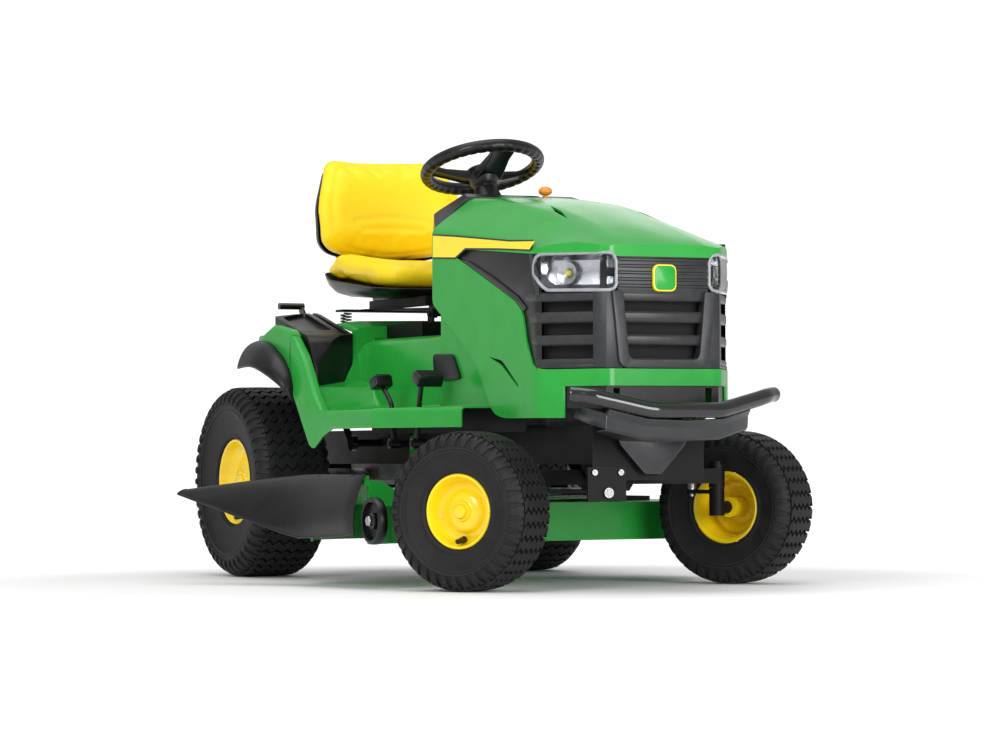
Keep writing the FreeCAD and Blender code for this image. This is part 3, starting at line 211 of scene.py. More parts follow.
textured("steel", (0.42, 0.42, 0.42), (0.28, 0.28, 0.28), 0.30, 0.10, 60, 500, 0.25, 0.0002, metallic=1.0,
    stretch=(6, 1, 6), edge_highlight=(0.8, 0.8, 0.8))
textured("belt_rubber", (0.020, 0.020, 0.020), (0.010, 0.010, 0.010), 0.7, 0.1, 60, 300, 0.5, 0.0005)
textured("cast_alloy", (0.30, 0.30, 0.31), (0.18, 0.18, 0.19), 0.5, 0.12, 40, 240, 0.5, 0.0006,
    metallic=0.8, edge_highlight=(0.5, 0.5, 0.5))
textured("orange_knob", (0.95, 0.26, 0.012), (0.85, 0.20, 0.01), 0.3, 0.05, 40, 400, 0.1, coat=0.3)
textured("tank_plastic", (0.50, 0.49, 0.45), (0.40, 0.39, 0.36), 0.5, 0.1, 20, 300, 0.2)
# Near-black material for sheets behind openings: painted shade in place of the dark inside of the hood.
textured("painted_shade_black", (0.006, 0.006, 0.006), (0.003, 0.003, 0.003), 0.8, 0.1, 40, 300, 0.3)
textured("chrome", (0.50, 0.51, 0.53), (0.40, 0.41, 0.43), 0.26, 0.06, 30, 200, 0.05, metallic=1.0)
textured("lamp_chip", (0.85, 0.75, 0.18), (0.65, 0.55, 0.10), 0.4, 0.1, 300, 900, 0.3)
textured("lamp_rim", (0.30, 0.31, 0.33), (0.24, 0.25, 0.27), 0.16, 0.05, 40, 300, 0.05, coat=0.5)
glass_material()


def finish_piece(obj, body, material):
    """Gives a piece its material, body and material slot; the slot has the material's name."""
    obj.data.materials.clear()
    obj.data.materials.append(MATERIALS[material])
    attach(obj, body)
    return obj


# ---- mesh building ----
def mesh_from(name, points, faces):
    """A mesh object from points in the machine's millimetres."""
    mesh = bpy.data.meshes.new(name)
    mesh.from_pydata([at(*p) for p in points], [], faces)
    mesh.validate()
    obj = bpy.data.objects.new(name, mesh)
    bpy.context.scene.collection.objects.link(obj)
    work = bmesh.new()
    work.from_mesh(mesh)
    bmesh.ops.recalc_face_normals(work, faces=work.faces)
    work.to_mesh(mesh)
    work.free()
    return obj


def smooth(obj, degrees=35.0):
    mesh = obj.data
    mesh.shade_smooth()
    mesh.set_sharp_from_angle(angle=math.radians(degrees))
    return obj


def apply_modifiers(obj):
    graph = bpy.context.evaluated_depsgraph_get()
    fresh = bpy.data.meshes.new_from_object(obj.evaluated_get(graph))
    obj.modifiers.clear()
    obj.data = fresh
    return obj


def evened(obj):
    """Shades large flat faces flat, leaving the curve to the narrow faces beside them."""
    weighted = obj.modifiers.new("even", "WEIGHTED_NORMAL")
    weighted.keep_sharp = True
    weighted.weight = 60
    return apply_modifiers(obj)


def bevelled(obj, width, segments=3, angle=30.0):
    bevel = obj.modifiers.new("bevel", "BEVEL")
    bevel.width = width * MM
    bevel.segments = segments
    bevel.limit_method = "ANGLE"
    bevel.angle_limit = math.radians(angle)
    bevel.harden_normals = False
    return smooth(apply_modifiers(obj), 40.0)


def boolean(obj, other, operation="DIFFERENCE"):
    change = obj.modifiers.new("cut", "BOOLEAN")
    change.operation = operation
    change.solver = "EXACT"
    change.object = other
    apply_modifiers(obj)
    bpy.data.objects.remove(other)
    return obj


def prism(name, outline, direction, start, end):
    """A 2-D outline extruded along x, y or z between two positions."""
    place = {"x": lambda u, v, w: (w, u, v), "y": lambda u, v, w: (u, w, v), "z": lambda u, v, w: (u, v, w)}
    count = len(outline)
    points = [place[direction](u, v, start) for u, v in outline]
    points += [place[direction](u, v, end) for u, v in outline]
    faces = [list(range(count)), list(range(count, 2 * count))[::-1]]
    faces += [[i, (i + 1) % count, count + (i + 1) % count, count + i] for i in range(count)]
    return mesh_from(name, points, faces)


def slab(name, x0, x1, y0, y1, z0, z1):
    return prism(name, [(x0, y0), (x1, y0), (x1, y1), (x0, y1)], "z", z0, z1)


def grid(name, rows, closed=False, capped=False):
    """A sheet through rows of points; closed joins each row's end to its start, capped fills the end rows."""
    count = len(rows[0])
    points = [p for row in rows for p in row]
    faces = []
    for r in range(len(rows) - 1):
        for c in range(count if closed else count - 1):
            d = (c + 1) % count
            faces.append([r * count + c, r * count + d, (r + 1) * count + d, (r + 1) * count + c])
    if capped:
        last = (len(rows) - 1) * count
        faces.append(list(range(count))[::-1])
        faces.append([last + c for c in range(count)])
    return mesh_from(name, points, faces)


def filleted(points, radius, steps=4, closed=False):
    """A 2-D line whose corners are rounded by arcs; each corner always gives the same number of points."""
    count = len(points)
    out = []
    for i, here in enumerate(points):
        if not closed and i in (0, count - 1):
            out.append(tuple(here))
            continue
        before = Vector(points[i - 1])
        after = Vector(points[(i + 1) % count])
        corner = Vector(here)
        r = radius[i] if isinstance(radius, (list, tuple)) else radius
        back = before - corner
        ahead = after - corner
        reach = min(r, back.length * 0.45, ahead.length * 0.45)
        first = corner + back.normalized() * reach
        last = corner + ahead.normalized() * reach
        for k in range(steps + 1):
            t = k / steps
            p = first * (1 - t) ** 2 + corner * (2 * t * (1 - t)) + last * t ** 2
            out.append((p.x, p.y))
    return out


def curve_through(keys, value):
    """Straight-line interpolation in a list of (position, value) pairs, positions rising."""
    if value <= keys[0][0]:
        return keys[0][1]
    for (a, va), (b, vb) in zip(keys, keys[1:]):
        if value <= b:
            return va + (vb - va) * (value - a) / (b - a)
    return keys[-1][1]


def axis_frame(axis):
    axis = Vector(axis).normalized()
    side = axis.orthogonal().normalized() if abs(axis.z) > 0.9 else Vector((0, 0,
        1)).cross(axis).normalized()
    return axis, side, axis.cross(side)


def lathe(name, profile, centre, axis, steps=72, closed=True):
    """Points (along, radius) turned about an axis through the centre."""
    axis, side, up = axis_frame(axis)
    centre = Vector(centre)
    rows = []
    for k in range(steps):
        a = 2 * math.pi * k / steps
        outward = side * math.cos(a) + up * math.sin(a)
        rows.append([tuple(centre + axis * along + outward * r) for along, r in profile])
    rows.append(rows[0])
    obj = grid(name, rows, closed=closed)
    return weld(obj)


def weld(obj, distance=0.02):
    work = bmesh.new()
    work.from_mesh(obj.data)
    bmesh.ops.remove_doubles(work, verts=work.verts, dist=distance * MM)
    bmesh.ops.recalc_face_normals(work, faces=work.faces)
    work.to_mesh(obj.data)
    work.free()
    return obj


def tube(name, points, radius, around=16, capped=True):
    """A round bar along a line of points."""
    points = [Vector(p) for p in points]
    rows = []
    normal = None
    for i, p in enumerate(points):
        ahead = points[min(i + 1, len(points) - 1)] - points[max(i - 1, 0)]
        ahead.normalize()
        if normal is None:
            normal = ahead.orthogonal().normalized()
        normal = (normal - ahead * normal.dot(ahead)).normalized()
        other = ahead.cross(normal)
        r = radius[i] if isinstance(radius, (list, tuple)) else radius
        rows.append([tuple(p + (normal * math.cos(2 * math.pi * k / around) + other * math.sin(2 * math.pi
            * k / around)) * r) for k in range(around)])
    return grid(name, rows, closed=True, capped=capped)


def spline(points, steps=8):
    """A smooth line through points (Catmull-Rom)."""
    pts = [Vector(p) for p in points]
    pts = [pts[0] * 2 - pts[1]] + pts + [pts[-1] * 2 - pts[-2]]
    out = []
    for i in range(1, len(pts) - 2):
        a, b, c, d = pts[i - 1:i + 3]
        for k in range(steps):
            t = k / steps
            out.append(0.5 * (2 * b + (c - a) * t + (2 * a - 5 * b + 4 * c - d) * t * t + (3 * b - a - 3
                * c + d) * t ** 3))
    out.append(pts[-2])
    return out


def joined(name, parts):
    """Several mesh objects made into one."""
    work = bmesh.new()
    for part in parts:
        work.from_mesh(part.data)
    mesh = bpy.data.meshes.new(name)
    work.to_mesh(mesh)
    work.free()
    for part in parts:
        bpy.data.objects.remove(part)
    obj = bpy.data.objects.new(name, mesh)
    bpy.context.scene.collection.objects.link(obj)
    return obj


def solidified(obj, wall, offset=-1.0):
    shell = obj.modifiers.new("wall", "SOLIDIFY")
    shell.thickness = wall * MM
    shell.offset = offset
    return apply_modifiers(obj)


# ---- wheels ----
def tyre_profile(radius, width, rim):
    """Outer surface of a turf tyre as (along, radius) points, from one bead to the other."""
    half = width / 2
    side = [(half * 0.72, rim + 1), (half * 0.80, rim + 4), (half * 0.83, rim + 9), (half * 0.82,
        rim + 15), (half * 0.90, (rim + radius) / 2 - 8), (half * 0.975, (rim + radius) / 2 + 8),
        (half * 0.99, radius - 38), (half * 0.94, radius - 24), (half * 0.82, radius - 13), (half * 0.66,
        radius - 9), (half * 0.35, radius - 8), (0, radius - 7.6)]
    smooth_side = [(v.x, v.y) for v in spline([(a, r, 0) for a, r in side], 4)]
    return smooth_side + [(-a, r) for a, r in smooth_side[-2::-1]]


def profile_reader(profile):
    """Gives the point and outward normal at a distance along the profile from its middle."""
    points = [Vector((a, r)) for a, r in profile]
    lengths = [0.0]
    for a, b in zip(points, points[1:]):
        lengths.append(lengths[-1] + (b - a).length)
    middle = lengths[-1] / 2

    def read(s):
        target = min(max(s + middle, 0.0), lengths[-1] - 1e-6)
        i = max(k for k in range(len(points) - 1) if lengths[k] <= target)
        t = (target - lengths[i]) / (lengths[i + 1] - lengths[i])
        p = points[i].lerp(points[i + 1], t)
        along = (points[i + 1] - points[i]).normalized()
        return p, Vector((along.y, -along.x))
    return read


def tyre(name, node, hub_joint, body, radius, width, rim, rows):
    centre = hub_of(hub_joint)
    axis, side, up = axis_frame(joints[hub_joint]["axis"])
    profile = tyre_profile(radius, width, rim)
    inside = [(a * 0.9, max(r - 9, rim + 1)) for a, r in profile[::-4]]
    carcass = lathe(name + "_carcass", profile + inside, centre, axis, 96)
    read = profile_reader(profile)
    tread = width * 0.74
    columns = 5
    cell = tread / columns
    wave = cell * 0.22
    points = []
    faces = []

    def spot(s, angle, height):
        p, n = read(s)
        a, r = p.x + n.x * height, p.y + n.y * height
        return tuple(centre + axis * a + (side * math.cos(angle) + up * math.sin(angle)) * r)

    def block(samples, low, high, height):
        """A raised block: samples is a list of (s, angle of the wave)."""
        start = len(points)
        for s, a in samples:
            for edge, lift in ((low, -1.0), (low + 0.06 * (high - low), height),
                    (high - 0.06 * (high - low), height), (high, -1.0)):
                points.append(spot(s, a + edge, lift))
        for i in range(len(samples) - 1):
            for j in range(3):
                q = start + i * 4 + j
                faces.append([q, q + 1, q + 5, q + 4])
        last = start + (len(samples) - 1) * 4
        faces.append([start + 3, start + 2, start + 1, start])
        faces.append([last, last + 1, last + 2, last + 3])

    pitch = 2 * math.pi / rows
    for k in range(rows):
        base = k * pitch
        shift = 0.5 * (k % 2)
        for j in range(columns + (k % 2)):
            s0 = max((j - shift) * cell, 0.0) - tread / 2 + 0.9
            s1 = min((j + 1 - shift) * cell, tread) - tread / 2 - 0.9
            if s1 - s0 < cell * 0.3:
                continue
            samples = []
            for i in range(7):
                s = s0 + (s1 - s0) * i / 6
                samples.append((s, base + wave / radius * math.cos(2 * math.pi * (s + tread / 2) / cell)))
            block(samples, 0.10 * pitch, 0.84 * pitch, 7.5)
        for half_step in (0, 1):
            lean = base + half_step * pitch / 2
            for sign in (-1, 1):
                samples = []
                for i in range(5):
                    s = sign * (tread / 2 + 1.6 + i * (width * 0.21) / 4)
                    samples.append((s, lean + 0.012 * i * (sign if half_step else -sign)))
                block(samples, 0.09 * pitch, 0.41 * pitch, 5.2)
    blocks = mesh_from(name + "_blocks", points, faces)
    ribs = []
    for sign in (-1, 1):
        for place, lift in ((0.34, 1.6), (0.40, 1.2)):
            p, n = read(sign * (tread / 2 + width * 0.21 + width * (place - 0.30)))
            ribs.append(lathe(name + "_ring", [(p.x - 1.2 * sign, p.y - 2), (p.x + n.x * lift, p.y),
                (p.x - 1.2 * sign, p.y + 2)], centre, axis, 96))
    smooth(blocks, 25)
    obj = joined(name, [carcass, blocks] + ribs)
    smooth(obj, 30)
    finish_piece(obj, body, "tyre_rubber")
    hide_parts(node)


def rim(name, node, hub_joint, body, radius, width, hub_r, outward_sign, shaft_r):
    centre = hub_of(hub_joint)
    axis = Vector(joints[hub_joint]["axis"]) * outward_sign
    half = width / 2 * 0.74
    r = radius
    outer = [(half, r - 0.6), (half + 2.5, r - 3), (half + 2.0, r - 7), (half - 4, r - 10),
        (half - 16, r - 13), (half - 30, r * 0.80), (half - 36, r * 0.70), (half - 35, r * 0.60),
        (half - 27, r * 0.52), (half - 22, r * 0.44), (half - 22, hub_r + 8), (half - 20, hub_r + 3),
        (half - 14, hub_r), (half - 14, shaft_r)]
    inner = [(half - 20, shaft_r), (half - 26, hub_r), (-half + 22, hub_r), (-half + 22, shaft_r),
        (-half + 18, shaft_r), (-half + 18, hub_r + 3), (half - 27, hub_r + 5), (half - 27, r * 0.46),
        (half - 33, r * 0.54), (half - 40, r * 0.62), (half - 41, r * 0.70), (half - 36, r * 0.80),
        (half - 40, r - 17), (0, r - 24), (-half + 30, r - 20), (-half + 6, r - 12), (-half, r - 8),
        (-half - 2.5, r - 4), (-half, r - 0.6), (-half + 8, r - 4), (0, r - 20), (half - 12, r - 8)]
    body_mesh = lathe(name, outer + inner, centre, axis, 72)
    smooth(body_mesh, 38)
    finish_piece(body_mesh, body, "yellow_rim")
    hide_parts(node)
    axis, _, up = axis_frame(axis)
    down = (-up if up.z > 0 else up)
    foot = centre + down * (r - 24) + axis * (half - 26)
    tip = foot + axis * 30 + down * 5
    valve = tube(name.replace("rim", "valve"), [foot, foot + (tip - foot) * 0.55, foot + (tip - foot)
        * 0.6, tip], [8.5, 6.4, 6.8, 6.0], 14)
    smooth(valve, 30)
    finish_piece(valve, body, "black_plastic")
    cap = lathe(name.replace("rim", "hub_cap"), [(half - 14.5, shaft_r + 9), (half - 10, shaft_r + 8.5),
        (half - 5, shaft_r + 5), (half - 3, 0.1), (half - 15, 0.1)], centre, axis, 32)
    smooth(cap, 30)
    finish_piece(cap, body, "yellow_rim")


def make_wheels():
    for side, sign in SIDES:
        tyre("rear_tyre_tread_" + side, "rear_tyre_" + side, "rear_spin_" + side, "rear_wheel_" + side,
            254.0, 203.0, 115.0, 46)
        tyre("front_tyre_tread_" + side, "front_tyre_" + side, "front_spin_" + side, "front_wheel_" + side,
            190.0, 146.0, 90.0, 36)
        rim("rear_rim_disc_" + side, "rear_rim_" + side, "rear_spin_" + side, "rear_wheel_" + side, 115.0,
            203.0, 28.0, sign, 13.0)
        rim("front_rim_disc_" + side, "front_rim_" + side, "front_spin_" + side, "front_wheel_" + side,
            90.0, 146.0, 22.0, sign, 10.0)
        shaft = lathe("rear_shaft_" + side, [(-298 * 1.0, 0.1), (-298, 12.4), (44, 12.4), (46, 11),
            (46, 0.1)], hub_of("rear_spin_" + side), (sign, 0, 0), 24)
        smooth(shaft, 30)
        finish_piece(shaft, "rear_wheel_" + side, "steel")


# ---- hood ----
HOOD_STATIONS = [
    # y, centre z, inner x, crease x, crease z, shoulder x, shoulder z, belt z
    (-808, 976, 104, 151, 970, 196, 937, 888),
    (-870, 972, 104, 150, 965, 200, 930, 881),
    (-950, 967, 103, 148, 957, 206, 917, 869),
    (-1100, 949, 102, 144, 934, 214, 888, 849),
    (-1200, 929, 101, 142, 912, 220, 866, 836),
    (-1290, 904, 100, 140, 887, 226, 846, 824),
    (-1370, 881, 102, 142, 866, 232, 828, 812),
    (-1430, 861, 106, 145, 848, 236, 818, 806),
    (-1500, 836, 112, 152, 825, 238, 806, 800),
    (-1540, 818, 114, 156, 808, 240, 800, 797),
]


def hood_rows(inset):
    rows = []
    for y, top, inner_x, cx, cz, sx, sz, belt in HOOD_STATIONS:
        side = HOOD_X - inset
        half = [(side, 380), (side, belt - inset * 0.4), (sx - inset * 0.5, sz - inset), (cx - inset * 0.5,
            cz - inset), (inner_x, (cz * 0.45 + top * 0.55) - inset)]
        radii = [0, 16, 26, 14, 12]
        line = half + [(0, top - inset)] + [(-x, z) for x, z in half[::-1]]
        arcs = radii + [60] + radii[::-1]
        rows.append([(x, y, z) for x, z in filleted(line, arcs, 4)])
    return rows


def plan_outline(inset):
    side = HOOD_X - inset
    front = HOOD_FRONT + inset
    nose = NOSE_X - inset * 0.4
    corners = [(-side, -700), (-side, CHEEK_Y), (-nose, front), (nose, front), (side, CHEEK_Y),
        (side, -700)]
    return filleted(corners, [0, 26, 22, 22, 26, 0], 5)


def side_outline():
    return filleted([(HOOD_REAR, 1100), (HOOD_REAR, 702), (-968, 607), (-1053, 553), (-1146, 424),
        (-1206, 411), (-1480, 409), (-1526, 443), (-1545, 470), (-1545, 1100)], [0, 14, 60, 50, 40, 30, 20,
        16, 10, 0], 4)


def make_hood():
    outer = grid("hood", hood_rows(0), closed=True, capped=True)
    boolean(outer, prism("plan", plan_outline(0), "z", 300, 1200), "INTERSECT")
    inner = grid("inside", hood_rows(5), closed=True, capped=True)
    boolean(inner, prism("plan", plan_outline(5), "z", 300, 1200), "INTERSECT")
    for v in inner.data.vertices:
        if (v.co.y - ORIGIN.y) / MM > HOOD_REAR - 1:
            v.co.y += 0.04
        if (v.co.z - ORIGIN.z) / MM < 381:
            v.co.z -= 0.04
    boolean(outer, inner)
    boolean(outer, prism("sides", side_outline(), "x", -400, 400), "INTERSECT")
    nose = filleted([(-141, BAND_Z), (141, BAND_Z), (141, LIP_Z), (-141, LIP_Z)], 6, 3, closed=True)
    boolean(outer, prism("nose", nose, "y", -1600, -1490))
    cheek = [(-1600, BAND_Z), (-1392, BAND_Z), (-1361, 535), (-1330, 590), (-1310, 663), (-1272, 690),
        (-1137, 741), (-1003, 791), (-944, 812), (-966, 823), (-998, 829), (-1364, 799), (-1600, 792)]
    for sign in (-1, 1):
        cut = filleted(cheek, [0, 16, 10, 16, 20, 20, 60, 20, 6, 8, 8, 4, 0], 3)
        boolean(outer, prism("cheek", cut, "x", sign * 130, sign * 300))
    boolean(outer, slab("below", -300, 300, -1600, -1440, 380, 484))
    for sign in (-1, 1):
        slot_shape = [(sign * 104, -1150), (sign * 124, -1215), (sign * 128, -1290), (sign * 112, -1230)]
        boolean(outer, prism("slot", slot_shape, "z", 700, 1100))
        vent = [(-1128, 561), (-1196, 551), (-1208, 545), (-1291, 487), (-1283, 485), (-1200, 536),
            (-1190, 541)]
        boolean(outer, prism("vent", vent, "x", sign * 240, sign * 280))
    weld(outer)
    bevel = outer.modifiers.new("edges", "BEVEL")
    bevel.width = 2.2 * MM
    bevel.segments = 2
    bevel.limit_method = "ANGLE"
    bevel.angle_limit = math.radians(50)
    bevel.use_clamp_overlap = True
    apply_modifiers(outer)
    smooth(outer, 40)
    evened(outer)
    finish_piece(outer, "hood", "green_plastic")
    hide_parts("hood_shell")
    for side, sign in SIDES:
        # Near-black sheets behind the side vents: painted shade in place of the dark inside of the hood.
        shade_sheet = slab("vent_shade_sheet_" + side, sign * 250, sign * 253, -1300, -1120, 480, 570)
        finish_piece(shade_sheet, "hood", "painted_shade_black")


def make_stripe():
    top = [(-814, 873), (-950, 862), (-1100, 848), (-1250, 834), (-1378, 828)]
    low = [(-1352, 810), (-1180, 822), (-1000, 832), (-943, 812), (-814, 819)]
    outline = top + low
    for side, sign in SIDES:
        stripe = prism("stripe_" + side, outline, "x", sign * (HOOD_X - 1), sign * (HOOD_X + 1.0))
        boolean(stripe, prism("plan", plan_outline(-1.1), "z", 700, 950), "INTERSECT")
        finish_piece(stripe, "hood", "yellow_plastic")
        border = [(-813.5, 877), (-950, 866), (-1100, 852), (-1250, 838), (-1380, 831.5), (-1353, 806),
            (-1180, 818), (-1001, 827.5), (-944, 807.5), (-813.5, 814.5)]
        edge = prism("stripe_edge_" + side, border, "x", sign * (HOOD_X - 1), sign * (HOOD_X + 0.5))
        boolean(edge, prism("plan", plan_outline(-0.6), "z", 700, 950), "INTERSECT")
        finish_piece(edge, "hood", "black_plastic")


def cheek_point(sign, t, inset, z):
    """A point on the angled cheek: t is 0 at the hood's side and 1 at the nose corner."""
    x = (HOOD_X - inset) + (NOSE_X - HOOD_X) * t
    y = CHEEK_Y + (HOOD_FRONT - CHEEK_Y + inset) * t + inset * 0.5 * (1 - t)
    return (sign * x, y, z)


def louvre(name, low, high, sign=None, tail=0):
    """A grille bar tapering backwards; a cheek's runs from the nose post round the corner to the side."""
    middle = (low + high) / 2
    section = [(3, low), (0, low + 6), (0, high - 5), (3, high), (30, middle + 5), (30, middle - 5)]
    if sign is None:
        return grid(name, [[(x, HOOD_FRONT + 4 + depth, z) for depth, z in section] for x in (-112, 112)],
            closed=True, capped=True)
    rows = []
    for t in (0.95, 0.85, 0.5, 0.08, 0.0):
        rows.append([cheek_point(sign, t, 4 + depth, z) for depth, z in section])
    for share, sink, squash in ((0.35, 0, 1.0), (0.7, 0.5, 0.9), (1.0, 9, 0.55)):
        row = []
        for depth, z in section:
            x, y, _ = cheek_point(sign, 0, 4 + depth * (0.3 if share == 1 else 1) + sink, z)
            row.append((x, y + tail * share, middle + (z - middle) * squash))
        rows.append(row)
    return grid(name, rows, closed=True, capped=True)


def make_grille():
    wall = []
    bars = ((683, 707, 88), (632, 660, 58), (579, 605, 44), (532, 549, 16))
    for sign in (-1, 1):
        for low, high, tail in bars:
            wall.append(bevelled(louvre("bar", low, high, sign, tail), 1.6, 2))
        outline = [cheek_point(sign, t, i, 0)[:2] for t, i in ((0.80, 2.5), (1.0, 2.5), (1.0, 20),
            (0.80, 20))]
        wall.append(bevelled(prism("post", outline, "z", BAND_Z + 1, 707), 3, 3))
        rail = [cheek_point(sign, t, i, 0)[:2] for t, i in ((-0.02, 3), (1.0, 3), (1.0, 30), (-0.02, 30))]
        wall.append(bevelled(prism("rail", rail, "z", BAND_Z + 1, BAND_Z + 12), 3, 3))
    for low, high, tail in bars:
        wall.append(bevelled(louvre("bar", low, high), 1.6, 2))
    frame_line = [(139, 707), (120, BAND_Z + 1), (-120, BAND_Z + 1), (-139, 707), (-110, 707), (-94, 546),
        (94, 546), (110, 707)]
    frame_line = filleted(frame_line, [3, 24, 24, 3, 3, 18, 18, 3], 5, closed=True)
    wall.append(bevelled(prism("frame", frame_line, "y", HOOD_FRONT - 3.5, HOOD_FRONT + 24), 3.6, 3))
    for sign in (-1, 1):
        filler = [(sign * 153, 707), (sign * 153, BAND_Z + 1), (sign * 108, BAND_Z + 1), (sign * 128, 707)]
        wall.append(bevelled(prism("filler", filler, "y", HOOD_FRONT + 3, HOOD_FRONT + 18), 2, 2))
    wall.append(bevelled(slab("brow", -122, 122, HOOD_FRONT + 3, HOOD_FRONT + 18, 700, LIP_Z + 3), 2, 2))
    for k in range(5):
        z = 716 + k * 15.5
        rib = prism("rib", [(HOOD_FRONT - 1, z), (HOOD_FRONT - 1, z + 5), (HOOD_FRONT + 6, z + 9),
            (HOOD_FRONT + 6, z - 3)], "x", -120, 120)
        wall.append(bevelled(rib, 1.2, 2))
    obj = joined("grille_bars", wall)
    smooth(obj, 35)
    finish_piece(obj, "hood", "grey_plastic")
    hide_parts("grille")
    # Near-black sheets behind the grille bars: painted shade in place of the dark inside of the hood.
    shade_sheets = []
    for sign in (-1, 1):
        outline = [cheek_point(sign, -0.02, 34, 0)[:2], cheek_point(sign, 1.0, 34, 0)[:2],
            cheek_point(sign, 1.0, 37, 0)[:2], cheek_point(sign, -0.02, 37, 0)[:2]]
        shade_sheets.append(prism("back", outline, "z", BAND_Z + 1, 705))
        shade_sheets.append(slab("back", sign * 222, sign * 251, -1351, -1347, BAND_Z + 1, 705))
    shade_sheets.append(slab("back", -150, 150, HOOD_FRONT + 36, HOOD_FRONT + 39, BAND_Z + 1, 790))
    obj = joined("grille_shade_sheet", shade_sheets)
    finish_piece(obj, "hood", "painted_shade_black")
    panel = [(-936, 806), (-960, 830), (-998, 836), (-1378, 806), (-1400, 770), (-1400, BAND_Z),
        (-1352, BAND_Z), (-1318, 590), (-1300, 656), (-1266, 682), (-1132, 733), (-998, 783)]
    for side, sign in SIDES:
        plate = prism("side_panel_" + side, panel, "x", sign * 250, sign * 256.4)
        boolean(plate, prism("plan", plan_outline(4.5), "z", 500, 900), "INTERSECT")
        plate = bevelled(plate, 1.5, 2)
        finish_piece(plate, "hood", "black_plastic")
        ledge_low = [(-958, 806), (-1003, 791), (-1137, 741), (-1272, 690.5), (-1312, 664), (-1326, 672),
            (-1278, 702), (-1137, 757), (-1010, 800)]
        ledge = prism("side_ledge_" + side, ledge_low, "x", sign * 256, sign * 260.5)
        ledge = bevelled(ledge, 2.0, 3)
        finish_piece(ledge, "hood", "grey_plastic")
        jamb = prism("side_jamb_" + side, [(-1346, 799), (-1362, 798), (-1378, 765), (-1396, 716),
            (-1400, 700), (-1378, 700), (-1362, 740)], "x", sign * 255, sign * 261)
        boolean(jamb, prism("plan", plan_outline(0.8), "z", 600, 900), "INTERSECT")
        jamb = bevelled(jamb, 2.0, 3)
        finish_piece(jamb, "hood", "grey_plastic")


def make_badge():
    def rounded(half_w, half_h, z):
        corners = [(-half_w, z - half_h), (half_w, z - half_h), (half_w, z + half_h), (-half_w, z + half_h)]
        return filleted(corners, half_w * 0.55, 6, closed=True)
    z = BADGE_Z
    plate = bevelled(prism("badge_border", rounded(31, 32, z), "y", HOOD_FRONT - 7, HOOD_FRONT + 4), 2, 2)
    finish_piece(plate, "hood", "yellow_plastic")
    field = bevelled(prism("badge_field", rounded(27.5, 28.5, z), "y", HOOD_FRONT - 8.5, HOOD_FRONT - 2),
        1, 2)
    finish_piece(field, "hood", "green_plastic")


def make_headlights():
    z0, z1 = LAMP_Z
    for side, sign in SIDES:
        # outline on the lamp's wrapped face as (distance along the front line, z)
        def wrap(u, inset):
            """u runs from 0 at the hood's side to 1 at the lamp's inner end."""
            corner = 0.83
            if u < 0.04:
                return (sign * (HOOD_X - inset), CHEEK_Y + 14 * (1 - u / 0.04) + 6 * (u / 0.04))
            if u < corner:
                t = (u - 0.04) / (corner - 0.04)
                x, y, _ = cheek_point(sign, t * 0.97, inset, 0)
                return (x, y)
            t = (u - corner) / (1 - corner)
            return (sign * (NOSE_X - 4 - inset * 0.4 - 24 * t), HOOD_FRONT + inset + 0.6)

        def edges(u):
            """Lower and upper edge of the lamp at u."""
            low = curve_through([(0, 752), (0.10, 722), (0.17, z0 + 3), (0.85, z0), (0.95, z0 + 3),
                (1, z0 + 14)], u)
            high = curve_through([(0, 770), (0.05, z1 - 2), (0.12, z1), (0.85, z1 - 1), (0.95, z1 - 4),
                (1, z1 - 20)], u)
            return low, high
        us = [0, 0.02, 0.04, 0.08, 0.12, 0.17] + [0.17 + 0.66 * k / 10 for k in range(1, 11)] + \
             [0.85, 0.88, 0.91, 0.94, 0.97, 1.0]
        rows = []
        for u in us:
            low, high = edges(u)
            row = []
            for k in range(9):
                v = k / 8
                bulge = 3.0 * (1 - (2 * v - 1) ** 4)
                x, y = wrap(u, 4.0 - bulge)
                row.append((x, y, low + (high - low) * v))
            rows.append(row)
        lens = solidified(grid("lamp_lens_" + side, rows), 2.4)
        smooth(lens, 50)
        finish_piece(lens, "hood", "lens")
        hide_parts("headlight_lenses")
        # bezel round the lens
        loop = [(u, 0) for u in us] + [(u, 1) for u in us[::-1]]
        ring = []
        for u, v in loop:
            low, high = edges(u)
            x, y = wrap(u, 3.0)
            ring.append((x, y, low if v == 0 else high))
        ring.append(ring[0])
        bezel = tube("lamp_bezel_" + side, ring, 4.3, 12)
        smooth(bezel, 40)
        finish_piece(bezel, "hood", "lamp_rim")
        # chrome bowl behind
        rows = []
        for u in us:
            low, high = edges(u)
            row = []
            for depth, v in ((5, 0.0), (16, 0.04), (30, 0.16), (34, 0.5), (30, 0.84), (16, 0.96), (5, 1.0)):
                squeeze = 0.25 if u in (us[0], us[-1]) else 1.0
                x, y = wrap(u, 4 + depth * squeeze)
                row.append((x, y, low + (high - low) * v))
            rows.append(row)
        bowl = solidified(grid("lamp_bowl_" + side, rows), 1.2)
        smooth(bowl, 35)
        finish_piece(bowl, "hood", "chrome")
        for k, u in enumerate((LAMP_CUP,)):
            x, y = wrap(u, 32)
            xo, yo = wrap(u, 16)
            cup = lathe("lamp_cup_%s_%d" % (side, k), [(0, 6), (3, 15), (9, 24), (12, 27), (12, 25.5),
                (4, 13), (2, 6)], (x, y, LAMP_CUP_Z), Vector((xo - x, yo - y, 0)), 32)
            smooth(cup, 40)
            finish_piece(cup, "hood", "chrome")
            if k == 0:
                chip = lathe("lamp_chip_" + side, [(0, 0.1), (0, 8), (9, 7), (12, 4), (13, 0.1)],
                    (x, y, LAMP_CUP_Z), Vector((xo - x, yo - y, 0)), 16)
                smooth(chip, 30)
                finish_piece(chip, "hood", "lamp_chip")


